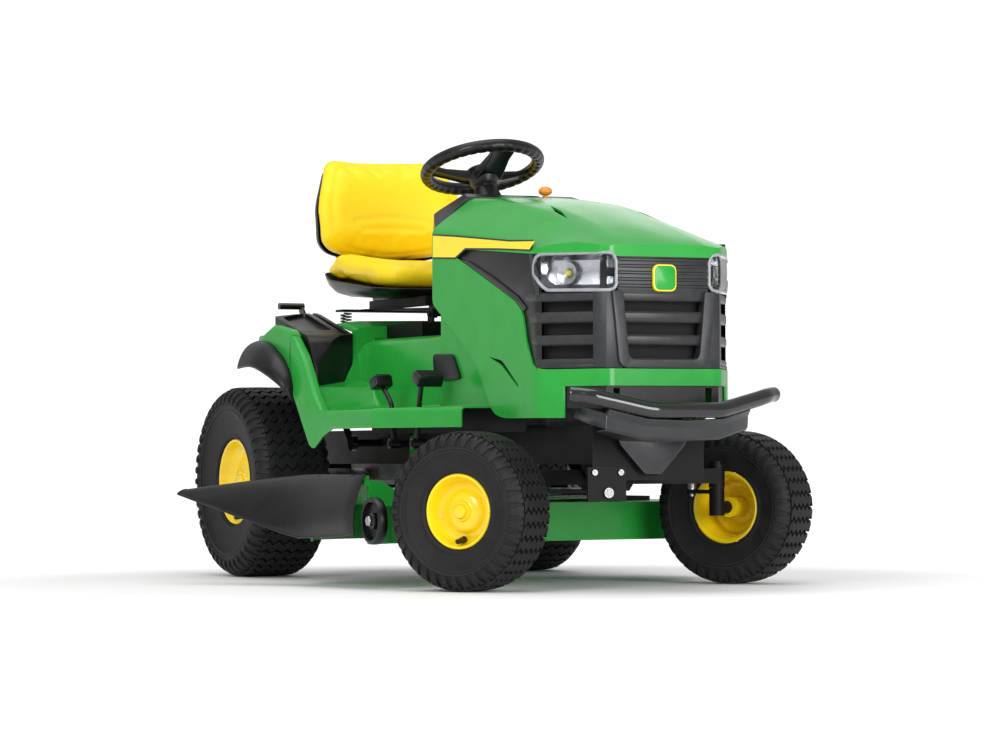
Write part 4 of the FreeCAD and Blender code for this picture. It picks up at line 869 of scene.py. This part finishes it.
# ---- seat ----
def ring_reach(outline, centre):
    """Tells how far an outline lies from its centre in any direction."""
    spots = sorted((math.atan2(v - centre[1], u - centre[0]), math.hypot(u - centre[0], v - centre[1]))
        for u, v in outline)
    spots = [(spots[-1][0] - 2 * math.pi, spots[-1][1])] + spots + [(spots[0][0] + 2 * math.pi,
        spots[0][1])]

    def reach(u, v):
        return curve_through(spots, math.atan2(v - centre[1], u - centre[0]))
    return reach


def pad(name, outline, centre, front, back, place):
    """A cushion with an outline: front and back give its two faces, rounded off towards the outline."""
    levels = [0.0, 0.25, 0.45, 0.62, 0.74, 0.83, 0.89, 0.935, 0.965, 0.985, 0.996, 1.0]
    rows = []
    for face, steps in ((front, levels), (back, levels[::-1])):
        for r in steps[1:] if face is front else steps:
            full = (1 - r ** 10) ** 0.45
            row = []
            for u, v in outline:
                pu, pv = centre[0] + (u - centre[0]) * r, centre[1] + (v - centre[1]) * r
                near, far = front(pu, pv), back(pu, pv)
                middle = (near + far) / 2
                edge = middle + (face(pu, pv) - middle) * full
                row.append(place(pu, pv, edge))
            rows.append(row)
    top = place(centre[0], centre[1], front(*centre))
    rows.insert(0, [top] * len(outline))
    return weld(grid(name, rows, closed=True), 0.05)


def puffed(obj, pressure, cap, voxel=6.0):
    """Inflates a pad by a short cloth simulation, with each point's travel limited."""
    remesh = obj.modifiers.new("remesh", "REMESH")
    remesh.mode = "VOXEL"
    remesh.voxel_size = voxel * MM
    apply_modifiers(obj)
    start = [v.co.copy() for v in obj.data.vertices]
    cloth = obj.modifiers.new("cloth", "CLOTH")
    settings = cloth.settings
    settings.use_pressure = True
    settings.uniform_pressure_force = pressure
    settings.effector_weights.gravity = 0
    settings.quality = 5
    settings.mass = 0.3
    settings.tension_stiffness = 15
    settings.compression_stiffness = 15
    settings.bending_stiffness = 2.0
    cloth.collision_settings.use_self_collision = False
    scene = bpy.context.scene
    for number in range(1, 21):
        scene.frame_set(number)
    apply_modifiers(obj)
    scene.frame_set(1)
    for v, rest in zip(obj.data.vertices, start):
        travel = v.co - rest
        if travel.length > cap * MM:
            v.co = rest + travel.normalized() * cap * MM
    soften = obj.modifiers.new("soften", "SMOOTH")
    soften.factor = 0.5
    soften.iterations = 6
    apply_modifiers(obj)
    return smooth(obj, 60)


def pressed(obj, lines, depth, width, direction):
    """Presses sewn channels into a pad; each line is a function giving a vertex's distance from it."""
    for v in obj.data.vertices:
        p = (v.co - ORIGIN) / MM
        for line in lines:
            d = line(p)
            if d is not None and abs(d) < width * 2:
                v.co += Vector(direction) * depth * MM * math.exp(-(d / width) ** 2)


def make_seat():
    outline = filleted([(0, 853), (113, 867), (177, 880), (207, 903), (216, 989), (210, 1023), (181, 1116),
        (160, 1131), (0, 1137), (-160, 1131), (-181, 1116), (-210, 1023), (-216, 989), (-207, 903),
        (-177, 880), (-113, 867)], [40, 30, 24, 24, 40, 40, 22, 22, 60, 22, 22, 40, 40, 24, 24, 30], 3,
        closed=True)
    centre = (0, BACK_Z)

    def lean(x, z):
        return curve_through([(850, 24), (900, 12), (960, 8), (1030, 22), (1137, 52)], z) - 30 * min(abs(x)
            / 216, 1) ** 2.2

    def belly(x, z):
        return 6 * math.exp(-((z - 915) / 45) ** 2) + 8 * math.exp(-((z - 1060) / 60) ** 2)
    back = pad("seat_back_pad", [(x * 1.015, z + 3 * (z - BACK_Z) / 145) for x, z in outline], centre,
        lambda x, z: lean(x, z) - belly(x, z), lambda x, z: lean(x, z) + 66, lambda x, z, y: (x, y, z))
    puffed(back, 3.0, 10)
    reach = ring_reach(outline, centre)
    welt = [lambda p: 110 * (math.hypot(p.x, p.z - BACK_Z) / reach(p.x, p.z) - 0.86) if p.y < 60 else None]
    pressed(back, [lambda p: p.z - 966 - 8 * math.cos(p.x / 60) if p.y < 45 and abs(p.x) < 120 else None,
        lambda p: p.z - 938 - 6 * math.cos(p.x / 70) if p.y < 45 and abs(p.x) < 95 else None], 4.5, 7.0,
        (0, 1, 0))
    pressed(back, welt, 3.0, 4.0, (0, 1, 0))
    subdivide(back)
    finish_piece(back, "seat", "seat_vinyl")
    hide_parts("seat_back")

    outline = filleted([(-190, 34), (-208, -30), (-208, -330), (-186, -392), (-150, -404), (150, -404),
        (186, -392), (208, -330), (208, -30), (190, 34)], [24, 40, 50, 30, 40, 40, 30, 50, 40, 24], 4,
        closed=True)
    centre = (0, CUSHION_Y)

    def top(x, y):
        side = min(abs(x) / 208, 1)
        outer = curve_through([(-404, 824), (-283, 845), (-131, 878), (-64, 876), (-30, 858), (34, 842)], y)
        inner = curve_through([(-404, 822), (-330, 828), (-200, 830), (-60, 842), (34, 852)], y)
        return inner + (outer - inner) * side ** 2.6

    def bottom(x, y):
        return curve_through([(-404, 767), (-388, 769), (-282, 778), (-174, 794), (-35, 809), (34, 812)], y)
    cushion = pad("seat_cushion_pad", outline, centre, top, bottom, lambda x, y, z: (x, y, z))
    puffed(cushion, 3.0, 8)
    reach_low = ring_reach(outline, centre)
    pressed(cushion, [lambda p: 140 * (math.hypot(p.x, p.y - CUSHION_Y) / reach_low(p.x, p.y) - 0.84)
        if p.z > 805 else None], 3.0, 4.0, (0, 0, -1))
    subdivide(cushion)
    finish_piece(cushion, "seat", "seat_vinyl")
    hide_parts("seat_cushion")
    make_seat_shell()


def subdivide(obj):
    more = obj.modifiers.new("more", "SUBSURF")
    more.levels = 1
    more.render_levels = 1
    return smooth(apply_modifiers(obj), 60)


def make_seat_shell():
    outline = filleted([(-186, 44), (-204, -30), (-204, -330), (-184, -386), (-150, -396), (150, -396),
        (184, -386), (204, -330), (204, -30), (186, 44)], [24, 40, 50, 30, 40, 40, 30, 50, 40, 24], 4,
        closed=True)
    rows = []
    for r, drop in ((0.0, 1.0), (0.5, 1.0), (0.80, 1.0), (0.90, 0.86), (0.96, 0.55), (0.985, 0.25),
            (1.0, 0.0)):
        row = []
        for x, y in outline:
            px, py = x * r, -180 + (y + 180) * r
            lip = curve_through([(-396, 762), (-282, 770), (-174, 784), (-35, 799), (44, 824)], py)
            floor = curve_through([(-396, 742), (-167, 745), (-45, 760), (44, 775)], py)
            row.append((px, py, lip + (floor - lip) * drop))
        rows.append(row)
    tub = bevelled(solidified(weld(grid("seat_tub", rows, closed=True), 0.05), 4.0, 1.0), 1.5, 2)
    line = filleted([(0, 846), (120, 862), (184, 878), (209, 903), (215, 989), (209, 1023), (178, 1112),
        (156, 1126), (0, 1132), (-156, 1126), (-178, 1112), (-209, 1023), (-215, 989), (-209, 903),
        (-184, 878), (-120, 862)], [40, 30, 24, 24, 40, 40, 22, 22, 60, 22, 22, 40, 40, 24, 24, 30], 3,
        closed=True)
    rows = []
    for r, behind in ((0.0, 92), (0.5, 92), (0.82, 88), (0.94, 78), (0.985, 62), (1.0, 44)):
        row = []
        for x, z in line:
            px, pz = x * r * 0.975, 984 + (z - BACK_Z) * r * 0.945
            y = curve_through([(846, 20), (960, 10), (1030, 22), (1132, 44)], pz) - 24 * min(abs(px) / 216,
                1) ** 2.2
            row.append((px, min(y + behind, 112), pz))
        rows.append(row)
    shell = bevelled(solidified(weld(grid("seat_back_shell", rows, closed=True), 0.05), 4.0, 1.0), 1.5, 2)
    neck = bevelled(prism("neck", [(-10, 762), (30, 772), (66, 800), (96, 860), (108, 920), (98, 924),
        (82, 870), (50, 812), (20, 786), (-10, 776)], "x", -130, 130), 4, 3)
    rails = [bevelled(slab("foot", x, x + 22, -380, -80, 741.5, 752), 1.5, 2) for x in (-100, 78)]
    obj = joined("seat_shell_body", [tub, shell, neck] + rails)
    smooth(obj, 40)
    finish_piece(obj, "seat", "black_plastic")
    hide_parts("seat_shell")


# ---- body panels ----
def fender_row(y, sign):
    """Section of one fender from its outer lower edge, over its top, to the tunnel wall."""
    outer_x = curve_through([(-1150, 335), (-980, 380), (-800, 427), (-700, FENDER_X), (-100, FENDER_X),
        (-60, 424), (0, 390), (60, 330)], y)
    low = curve_through([(-1150, 392), (-560, 391), (-500, 372), (-447, 343), (-418, 343), (-359, 416),
        (-309, 480), (-230, 560), (-150, 592), (-92, 592), (-60, 600), (60, 640)], y)
    edge = curve_through([(-1150, 441), (-500, 441), (-470, 443), (-420, 500), (-365, 580), (-310, 628),
        (-260, 655), (-176, 671), (-92, 645), (60, 650)], y)
    top = curve_through([(-1150, 441), (-440, 441), (-405, 470), (-388, 500), (-286, 522), (-284, 650),
        (-200, 668), (60, 662)], y)
    edge = max(edge, low + 4)
    tunnel = curve_through([(-800, 628), (-262, 628), (-240, 664), (60, 664)], y)
    wall_top = curve_through([(-1150, 500), (-800, 500), (-262, 500), (-240, 640), (60, 655)], y)
    line = [(outer_x, low), (outer_x, edge), (outer_x - 28, edge - 2), (outer_x - 34, min(top, edge - 3)),
        (TUNNEL_X + 26, top), (TUNNEL_X, top + 4), (TUNNEL_X, max(wall_top, top + 8)),
        (212, max(tunnel - 10, top + 12)), (196, max(tunnel, top + 14)), (0, max(tunnel, top + 14) + 3)]
    line = filleted(line, [0, 14, 6, 8, 24, 12, 20, 14, 14, 0], 4)
    return [(sign * x, y, z) for x, z in line]


def make_fender():
    ys = [-800, -780, -700, -620, -560, -530, -500, -472, -447, -430, -410, -385, -359, -335, -309, -285,
        -290, -286, -284, -262, -250, -240, -230, -205, -176, -150, -120, -92, -60, -30, 0, 30, 60]
    halves = []
    for sign in (-1, 1):
        halves.append(grid("half", [fender_row(y, sign) for y in ys]))
    front = []
    for sign in (-1, 1):
        rows = []
        for y in (-800, -860, -920, -980, -1040, -1100, -1132):
            outer_x = curve_through([(-1150, 335), (-980, 380), (-800, 427)], y)
            rise = curve_through([(-1132, 470), (-1080, 560), (-850, 770), (-800, 786)], y)
            line = [(outer_x, 391), (outer_x, 441), (TUNNEL_X + 10, 441), (TUNNEL_X + 3, 445),
                (TUNNEL_X, 470), (TUNNEL_X, rise)]
            line = filleted(line, [0, 14, 14, 8, 8, 0], 4)
            rows.append([(sign * x, y, z) for x, z in line])
        front.append(grid("front", rows))
    skin = joined("fender_body", halves + front)
    weld(skin, 0.5)
    for sign in (-1, 1):
        boolean_open(skin, slab("well", sign * 250, sign * 397, -288, 70, 500, 760))
        for y in ((-875, -700) if sign < 0 else (-875,)):
            boolean_open(skin, slab("slot", sign * 315, sign * 341, y - 34, y + 34, 425, 455))
    solidified(skin, 4.0, -1.0)
    smooth(skin, 38)
    finish_piece(skin, "chassis", "green_plastic")
    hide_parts("fender_deck")


def boolean_open(obj, box):
    """Removes what lies inside a box from an open sheet, after slicing the sheet along the box's sides."""
    corners = [v.co.copy() for v in box.data.vertices]
    low = Vector((min(c[i] for c in corners) for i in range(3)))
    high = Vector((max(c[i] for c in corners) for i in range(3)))
    bpy.data.objects.remove(box)
    work = bmesh.new()
    work.from_mesh(obj.data)
    for i in range(3):
        for value in (low[i], high[i]):
            spot = Vector((0, 0, 0))
            spot[i] = value
            way = Vector((0, 0, 0))
            way[i] = 1
            near = [f for f in work.faces if all(low[j] - 0.02 < f.calc_center_median()[j] < high[j] + 0.02
                for j in range(3))]
            geometry = list({e for f in near for e in f.edges}) + list({v for f in near
                for v in f.verts}) + near
            bmesh.ops.bisect_plane(work, geom=geometry, plane_co=spot, plane_no=way)
    inside = [f for f in work.faces if all(low[j] < f.calc_center_median()[j] < high[j] for j in range(3))]
    bmesh.ops.delete(work, geom=inside, context="FACES")
    work.to_mesh(obj.data)
    work.free()


def make_console(side, sign):
    outline = [(50, 712), (-60, 708), (-282, 645), (-330, 636), (-388, 512), (-380, 506), (50, 566)]
    body = prism("console_" + side, filleted(outline, [8, 40, 10, 22, 10, 6, 6], 4, closed=True), "x",
        sign * 251, sign * 396)
    tray = filleted([(sign * 292, -62), (sign * 292, -250), (sign * 380, -250), (sign * 380, -116)], 14, 3,
        closed=True)
    lid = prism("tray", tray, "z", 600, 900)
    floor = prism("floor", [(60, 702), (-62, 697), (-262, 641), (-262, 560), (60, 560)], "x", sign * 200,
        sign * 420)
    boolean(lid, floor)
    boolean(body, lid)
    plan = [(sign * 250, -45), (sign * 250, -292), (sign * 268, -300), (sign * 386, -368),
        (sign * 398, -360), (sign * 398, -108), (sign * 390, -104)]
    boolean(body, prism("plan", filleted(plan, [6, 18, 18, 22, 22, 10, 10], 4, closed=True), "z", 480,
        800), "INTERSECT")
    if side == "right":
        boolean(body, slab("slot", -276.5, -263.5, -292, 34, 500, 760))
    else:
        boolean(body, lathe("cup", [(0, 0.1), (0, 42), (200, 42), (200, 0.1)], (322, -205, 594), (0, 0, 1),
            40))
        boolean(body, lathe("neck", [(0, 0.1), (0, 31), (200, 31), (200, 0.1)], (330, -40, 600), (0, 0, 1),
            40))
    bevelled(body, 7, 4, 32)
    finish_piece(body, "chassis", "black_plastic")
    return body


def make_flare(side, sign):
    inner = spline([(430.6, -92, 632), (430.6, -165, 622), (430.6, -215, 602), (430.6, -258, 577),
        (430.6, -290, 546), (430.6, -309, 512), (430.6, -310, 478)], 4)
    outer = spline([(501, -92, 562), (501, -150, 566), (498, -200, 563), (485, -262, 540),
        (465, -300, 512), (450, -312, 494), (436, -314, 472)], 4)
    rows = []
    for near, far in zip(inner, outer):
        gap = (far - near).length
        lift = Vector((0.55, 0, 0.83)) * gap * 0.20
        lip = Vector((0, 0.35, -1)).normalized()
        row = [near, near.lerp(far, 0.10) + lift * 0.36, near.lerp(far, 0.3) + lift * 0.85, near.lerp(far,
            0.55) + lift, near.lerp(far, 0.8) + lift * 0.62, near.lerp(far, 0.94) + lift * 0.2, far,
            far + lip * 10]
        rows.append([(sign * p.x, p.y, p.z) for p in row])
    sheet = solidified(grid("flare_" + side, rows), 4.0, -1.0)
    sheet = subdivide(sheet)
    smooth(sheet, 45)
    finish_piece(sheet, "chassis", "black_plastic")
    return sheet


def make_consoles_and_flares():
    bodies = [make_console(side, sign) for side, sign in SIDES]
    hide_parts("side_consoles")
    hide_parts("side_consoles")
    flares = [make_flare(side, sign) for side, sign in SIDES]
    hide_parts("fender_flares")
    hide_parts("fender_flares")


# ---- steering wheel ----
def make_steering_wheel():
    centre = hub_of("steering_turn")
    axis, _, _ = axis_frame(joints["steering_turn"]["axis"])
    right = Vector((1, 0, 0))
    ahead = right.cross(axis) * -1
    if ahead.y > 0:
        ahead = -ahead
    ring_r, tube_r = 146.5, 16.6
    rows = []
    steps = 144
    for k in range(steps + 1):
        a = 2 * math.pi * k / steps
        outward = right * math.cos(a) + ahead * math.sin(a)
        row = []
        for j in range(20):
            b = 2 * math.pi * j / 20
            dimple = 1.0
            if math.sin(b) < -0.1 and k % 4 < 1:
                dimple = 0.90
            r = tube_r * dimple
            row.append(tuple(centre + outward * (ring_r + r * math.cos(b)) + axis * r * math.sin(b)))
        rows.append(row)
    parts = [weld(grid("rim", rows, closed=True))]
    for degrees, wide in ((90, 64), (-12, 36), (192, 36)):
        a = math.radians(degrees)
        way = right * math.cos(a) + ahead * math.sin(a)
        across = axis.cross(way)
        rows = []
        for t, half, low, high in ((18, wide * 0.60, -44, -14), (50, wide * 0.52, -38, -12),
                (100, wide * 0.44, -22, -4), (138, wide * 0.5, -10, 7), (148, wide * 0.55, -8, 8)):
            section = [(-half, low), (-half * 0.55, low + 5), (half * 0.55, low + 5), (half, low),
                (half, high), (-half, high)]
            rows.append([tuple(centre + way * t + across * u + axis * v) for u, v in section])
        parts.append(bevelled(grid("spoke", rows, closed=True, capped=True), 3, 3))
    hub = lathe("hub", [(-52, 10), (-52, 33), (-46, 37), (-20, 46), (-10, 46), (-5, 40), (-4, 0.1),
        (-12, 0.1), (-13, 10)], centre, axis, 40)
    parts.append(hub)
    obj = joined("steering_wheel_rim", parts)
    smooth(obj, 38)
    finish_piece(obj, "steering", "black_plastic")
    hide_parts("steering_wheel")


# ---- deck trim ----
def make_deflector():
    rows = [(-1014, -542, 276, -572, 134, 12), (-960, -542, 276, -576, 130, 14), (-900, -542, 276, -580,
        127, 16), (-820, -542, 276, -590, 124, 18), (-740, -543, 276, -602, 122, 20), (-680, -548, 275,
        -630, 136, 21), (-620, -556, 272, -664, 156, 20), (-560, -596, 266, -700, 176, 15),
        (-500, -640, 258, -732, 196, 10), (-450, -702, 248, -764, 213, 5), (-401, -764, 238, -788, 228, 2)]
    sheet_rows = []
    for y, xi, zi, xo, zo, bulge in rows:
        section = []
        for k in range(13):
            t = k / 12
            lift = bulge * (math.sin(math.pi * min(t * 1.9, 1) ** 0.8) if t < 0.5 else math.sin(math.pi
                * t)) * 1.0
            lift = bulge * math.sin(math.pi * t) ** 0.8
            dx, dz = xo - xi, zo - zi
            length = math.hypot(dx, dz)
            section.append((xi + dx * t + dz / length * lift, y, zi + dz * t - dx / length * lift))
        sheet_rows.append(section)
    sheet = solidified(grid("deflector_sheet", sheet_rows), 4.0, 0.0)
    bevelled(sheet, 1.4, 2, 50)
    edge_low = tube("bead", [row[-1] for row in sheet_rows], 3.2, 8)
    end = tube("bead", sheet_rows[0], 3.4, 8)
    tail = tube("bead", sheet_rows[-1], 3.2, 8)
    hinge = hub_of("deflector_swing")
    knuckles = []
    for y in (-960, -760):
        knuckles.append(bevelled(lathe("knuckle", [(0, 4.2), (0, 8), (60, 8), (60, 4.2)],
            (hinge.x, y, hinge.z), (0, 1, 0), 24), 1, 2))
        knuckles.append(bevelled(slab("web", hinge.x - 12, hinge.x - 5, y, y + 60, hinge.z, hinge.z + 8),
            1.5, 2))
    obj = joined("deflector_body", [sheet, edge_low, end, tail] + knuckles)
    smooth(obj, 40)
    finish_piece(obj, "deflector", "black_plastic")
    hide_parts("deflector")


def make_gauge_wheels():
    for side, sign in SIDES:
        centre = hub_of("gauge_spin_" + side)
        low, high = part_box("gauge_wheel_" + side)
        half = (high.x - low.x) / MM / 2
        wide = half
        profile = [(wide - 2, 46), (wide, 50), (wide - 2, 55), (wide - 7, 57), (-wide + 7, 57),
            (-wide + 2, 55), (-wide, 50), (-wide + 2, 46), (-wide + 5, 44), (wide - 14, 42),
            (wide - 16, 20), (wide - 6, 19), (wide - 6, 9), (wide - 18, 9), (-wide + 8, 12),
            (-wide + 4, 18), (-wide + 4, 42), (wide - 12, 46)]
        wheel = lathe("gauge_roller_" + side, profile, centre, (sign, 0, 0), 48)
        smooth(wheel, 35)
        finish_piece(wheel, "gauge_" + side, "black_plastic")
        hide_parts("gauge_wheel_" + side)
        nut = lathe("gauge_nut_" + side, [(wide - 8, 0.1), (wide - 8, 14), (wide + 3, 14), (wide + 6, 11),
            (wide + 6, 0.1)], centre, (sign, 0, 0), 6)
        finish_piece(nut, "gauge_" + side, "steel")


# ---- pedals ----
def make_pedal(name, node, body, joint, arm, pad, tilt, size, outward):
    pivot = hub_of(joint)
    x = pivot.x
    line = spline([(x, y, z) for y, z in arm], 6)
    bar = tube("bar", line, 6.5, 12)
    hub = lathe("hub", [(-14, 8.3), (-14, 13), (14, 13), (14, 8.3)], pivot, (1, 0, 0), 24)
    half_x, half_y, half_z = size
    outline = filleted([(-half_y, -half_z), (half_y, -half_z), (half_y, half_z), (-half_y, half_z)], 6, 3,
        closed=True)
    turn = Matrix.Rotation(math.radians(tilt), 3, "X")
    rows = []
    for t in (-1, -0.9, 0.9, 1):
        shrink = 0.86 if abs(t) == 1 else 1.0
        row = []
        for u, v in outline:
            p = turn @ Vector((0, u * shrink, v * shrink))
            row.append((x + outward + half_x * t, pad[0] + p.y, pad[1] + p.z))
        rows.append(row)
    block = bevelled(grid("pad", rows, closed=True, capped=True), 2, 2)
    ribs = []
    for k in range(5):
        u = -half_y + (k + 0.5) * 2 * half_y / 5
        p = turn @ Vector((0, u, half_z))
        ribs.append(tube("rib", [(x + outward + way * half_x * 0.8, pad[0] + p.y, pad[1] + p.z)
            for way in (-1, 1)], 1.8, 8))
    obj = joined(name, [bar, hub, block] + ribs)
    smooth(obj, 40)
    finish_piece(obj, body, "black_plastic")
    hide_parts(node)


def make_pedals():
    forward = [(-852, 352), (-860, 400), (-868, 445), (-881, 500)]
    reverse = [(-718, 352), (-712, 400), (-704, 445), (-682, 470), (-650, 494)]
    make_pedal("forward_pedal_pad", "forward_pedal", "forward_pedal", "forward_press", forward,
        (-893, 512), 24, (35, 20, 15), 12)
    make_pedal("reverse_pedal_pad", "reverse_pedal", "reverse_pedal", "reverse_press", reverse,
        (-640, 508), -18, (24, 20, 15), 0)
    make_pedal("brake_pedal_pad", "brake_pedal", "brake_pedal", "brake_press", forward, (-893, 512), 24,
        (35, 20, 15), 0)
    knee = filleted([(-765, 578), (-880, 574), (-925, 512), (-838, 508), (-772, 520)], 16, 4, closed=True)
    for side, sign in SIDES:
        rest = bevelled(prism("knee_pad_" + side, knee, "x", sign * 236, sign * 243), 2.5, 3)
        finish_piece(rest, "chassis", "black_plastic")


def make_tunnel_skirts():
    """Dark panels under the footrests that close the tunnel's lower edge."""
    for side, sign in SIDES:
        outline = filleted([(-1236, 378), (-1236, 430), (-1180, 468), (-330, 468), (-330, 378)], 10, 3,
            closed=True)
        skirt = bevelled(prism("tunnel_skirt_" + side, outline, "x", sign * 212, sign * 216), 1.2, 2)
        finish_piece(skirt, "chassis", "frame_black")


# ---- bumper, bracket and throttle ----
def make_bumper_tube():
    half = [(272, -1578, 463), (252, -1591, 461.5), (232, -1605, 458), (210, -1611.5, 452.5),
        (160, -1623.5, 441), (114, -1634.5, 430), (92, -1639, 426), (70, -1640, 425), (0, -1640, 425)]
    line = half + [(-x, y, z) for x, y, z in half[-2::-1]]
    obj = tube("bumper_bar", spline(line, 5), BUMPER_R, 28)
    bevelled(obj, 1.5, 2, 60)
    finish_piece(obj, "chassis", "black_paint")
    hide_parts("bumper_tube")


def make_bracket():
    rows = []
    for x, y, low, high in ((-188, -1598, 380, 416), (-100, -1622, 358, 393), (0, -1626, 356, 389),
            (100, -1622, 358, 393), (188, -1598, 380, 416)):
        rows.append([(x, y - 14, high + 12), (x, y - 6, high + 3), (x, y, high - 4), (x, y + 3, low + 5),
            (x, y + 9, low), (x * 0.8, -1474, max(low - 3, 354))])
    skirt = bevelled(solidified(grid("skirt", rows), 5.0, 0.0), 1.5, 2)
    plate = bevelled(prism("plate", filleted([(-92, 360), (-88, 346), (-22, 276), (22, 276), (88, 346),
        (92, 360)], 8, 3, closed=True), "y", -1478, -1470), 2, 2)
    parts = [skirt, plate]
    for sign in (-1, 1):
        wing = [(-1600, 416), (-1452, 438), (-1432, 411), (-1500, 396), (-1596, 381)]
        parts.append(bevelled(prism("wing", filleted(wing, 8, 3, closed=True), "x", sign * 184,
            sign * 190), 1.5, 2))
    obj = joined("bumper_bracket_sheet", parts)
    smooth(obj, 40)
    finish_piece(obj, "chassis", "bracket_paint")
    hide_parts("bumper_bracket")


def make_throttle():
    turns = [2 * math.pi * k / 24 for k in range(13)]
    knob = lathe("throttle_knob", [(-12 * math.cos(a), max(18 * math.sin(a), 0.05)) for a in turns],
        (60, -803, 994), (0, 0, 1), 32)
    smooth(knob, 60)
    stem = lathe("throttle_stem", [(-30, 0.1), (-30, 4), (0, 4), (0, 0.1)], (60, -803, 994), (0, 0, 1), 12)
    obj = joined("throttle_grip", [knob, stem])
    smooth(obj, 60)
    finish_piece(obj, "throttle", "orange_knob")
    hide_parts("throttle_lever")


# ---- carried-over nodes ----
CARRIED = {
    "frame_black": "frame steering_column seat_base front_axle knuckle_right knuckle_left "
        "lift_arms seat_pan",
    "cast_alloy": "engine transaxle",
    "black_plastic": "battery dash_console belt_covers ignition_key fuel_cap front_valance",
    "tank_plastic": "fuel_tank",
    "belt_rubber": "drive_belt deck_belt",
    "steel": "hardware seat_springs drag_link_right drag_link_left sector_gear pinion_shaft "
        "steering_shaft blade_right blade_left crank_pulley transaxle_pulley",
    "green_plastic": "deck_shell",
    "black_paint": "lift_lever",
    "yellow_plastic": "pto_knob",
}


def dress_carried_nodes():
    for material, names in CARRIED.items():
        for name in names.split():
            nodes[name].data.materials.clear()
            nodes[name].data.materials.append(MATERIALS[material])


# ---- stage, light and camera ----
def make_stage():
    mat, tree, link, shader = new_material("floor")
    geometry = tree.new("ShaderNodeNewGeometry")
    distance = tree.new("ShaderNodeVectorMath")
    distance.operation = "LENGTH"
    link.new(geometry.outputs["Position"], distance.inputs[0])
    fade = tree.new("ShaderNodeMapRange")
    fade.interpolation_type = "SMOOTHSTEP"
    put(fade, {"From Min": 1.0, "From Max": 1.75})
    link.new(distance.outputs["Value"], fade.inputs["Value"])
    glow = tree.new("ShaderNodeEmission")
    put(glow, {"Color": (1, 1, 1, 1), "Strength": 1.15})
    mix = tree.new("ShaderNodeMixShader")
    link.new(fade.outputs["Result"], mix.inputs["Fac"])
    link.new(shader.outputs["BSDF"], mix.inputs[1])
    link.new(glow.outputs["Emission"], mix.inputs[2])
    out = tree["Material Output"]
    link.new(mix.outputs["Shader"], out.inputs["Surface"])
    put(shader, {"Base Color": (0.93, 0.93, 0.93, 1), "Roughness": 0.6})
    mesh = bpy.data.meshes.new("floor")
    mesh.from_pydata([(-60, -60, 0), (60, -60, 0), (60, 60, 0), (-60, 60, 0)], [], [(0, 1, 2, 3)])
    floor = bpy.data.objects.new("floor", mesh)
    bpy.context.scene.collection.objects.link(floor)
    mesh.materials.append(mat)


def area_light(name, place, target, size, power):
    data = bpy.data.lights.new(name, "AREA")
    data.shape = "RECTANGLE"
    data.size, data.size_y = size
    data.energy = power
    obj = bpy.data.objects.new(name, data)
    bpy.context.scene.collection.objects.link(obj)
    obj.location = place
    way = Vector(target) - Vector(place)
    obj.rotation_mode = "QUATERNION"
    obj.rotation_quaternion = way.to_track_quat("-Z", "Y")


def make_light():
    world = bpy.data.worlds.new("studio")
    bpy.context.scene.world = world
    world.use_nodes = True
    tree, link = world.node_tree.nodes, world.node_tree.links
    soft = tree["Background"]
    put(soft, {"Color": (1, 1, 1, 1), "Strength": 0.52})
    white = tree.new("ShaderNodeBackground")
    put(white, {"Color": (1, 1, 1, 1), "Strength": 1.15})
    seen = tree.new("ShaderNodeLightPath")
    mix = tree.new("ShaderNodeMixShader")
    link.new(seen.outputs["Is Camera Ray"], mix.inputs["Fac"])
    link.new(soft.outputs["Background"], mix.inputs[1])
    link.new(white.outputs["Background"], mix.inputs[2])
    link.new(mix.outputs["Shader"], tree["World Output"].inputs["Surface"])
    middle = (0, 0, 0.6)
    area_light("top", (-0.4, -0.2, 4.2), middle, (3.4, 3.4), 75)
    area_light("key", (-4.2, -3.2, 2.6), middle, (2.2, 2.2), 120)
    area_light("front", (0.8, -4.8, 1.2), (0, 0, 0.4), (2.0, 2.0), 105)
    area_light("back", (2.6, 3.8, 2.6), middle, (2.0, 2.0), 10)
    bpy.context.scene.view_settings.view_transform = "Standard"
    bpy.context.scene.view_settings.exposure = 0.0


def make_camera():
    place = at(-4085.2, -8948.5, 329.8)
    aim = Vector((0.44188, 0.89682, 0.02146)).normalized()
    right = aim.cross(Vector((0, 0, 1))).normalized()
    up = right.cross(aim)
    roll = -0.0055
    turned_right = right * math.cos(roll) + up * math.sin(roll)
    turned_up = up * math.cos(roll) - right * math.sin(roll)
    data = bpy.data.cameras.new("camera")
    data.sensor_width = 36.0
    data.lens = 129.18
    data.clip_end = 200.0
    camera = bpy.data.objects.new("camera", data)
    bpy.context.scene.collection.objects.link(camera)
    axes = Matrix((turned_right, turned_up, -aim)).transposed()
    camera.matrix_world = Matrix.Translation(place) @ axes.to_4x4()
    bpy.context.scene.camera = camera


make_camera()
make_stage()
make_light()
dress_carried_nodes()
make_wheels()
make_hood()
make_stripe()
make_grille()
make_badge()
make_headlights()
make_seat()
make_fender()
make_consoles_and_flares()
make_steering_wheel()
make_deflector()
make_gauge_wheels()
make_pedals()
make_tunnel_skirts()
make_bumper_tube()
make_bracket()
make_throttle()
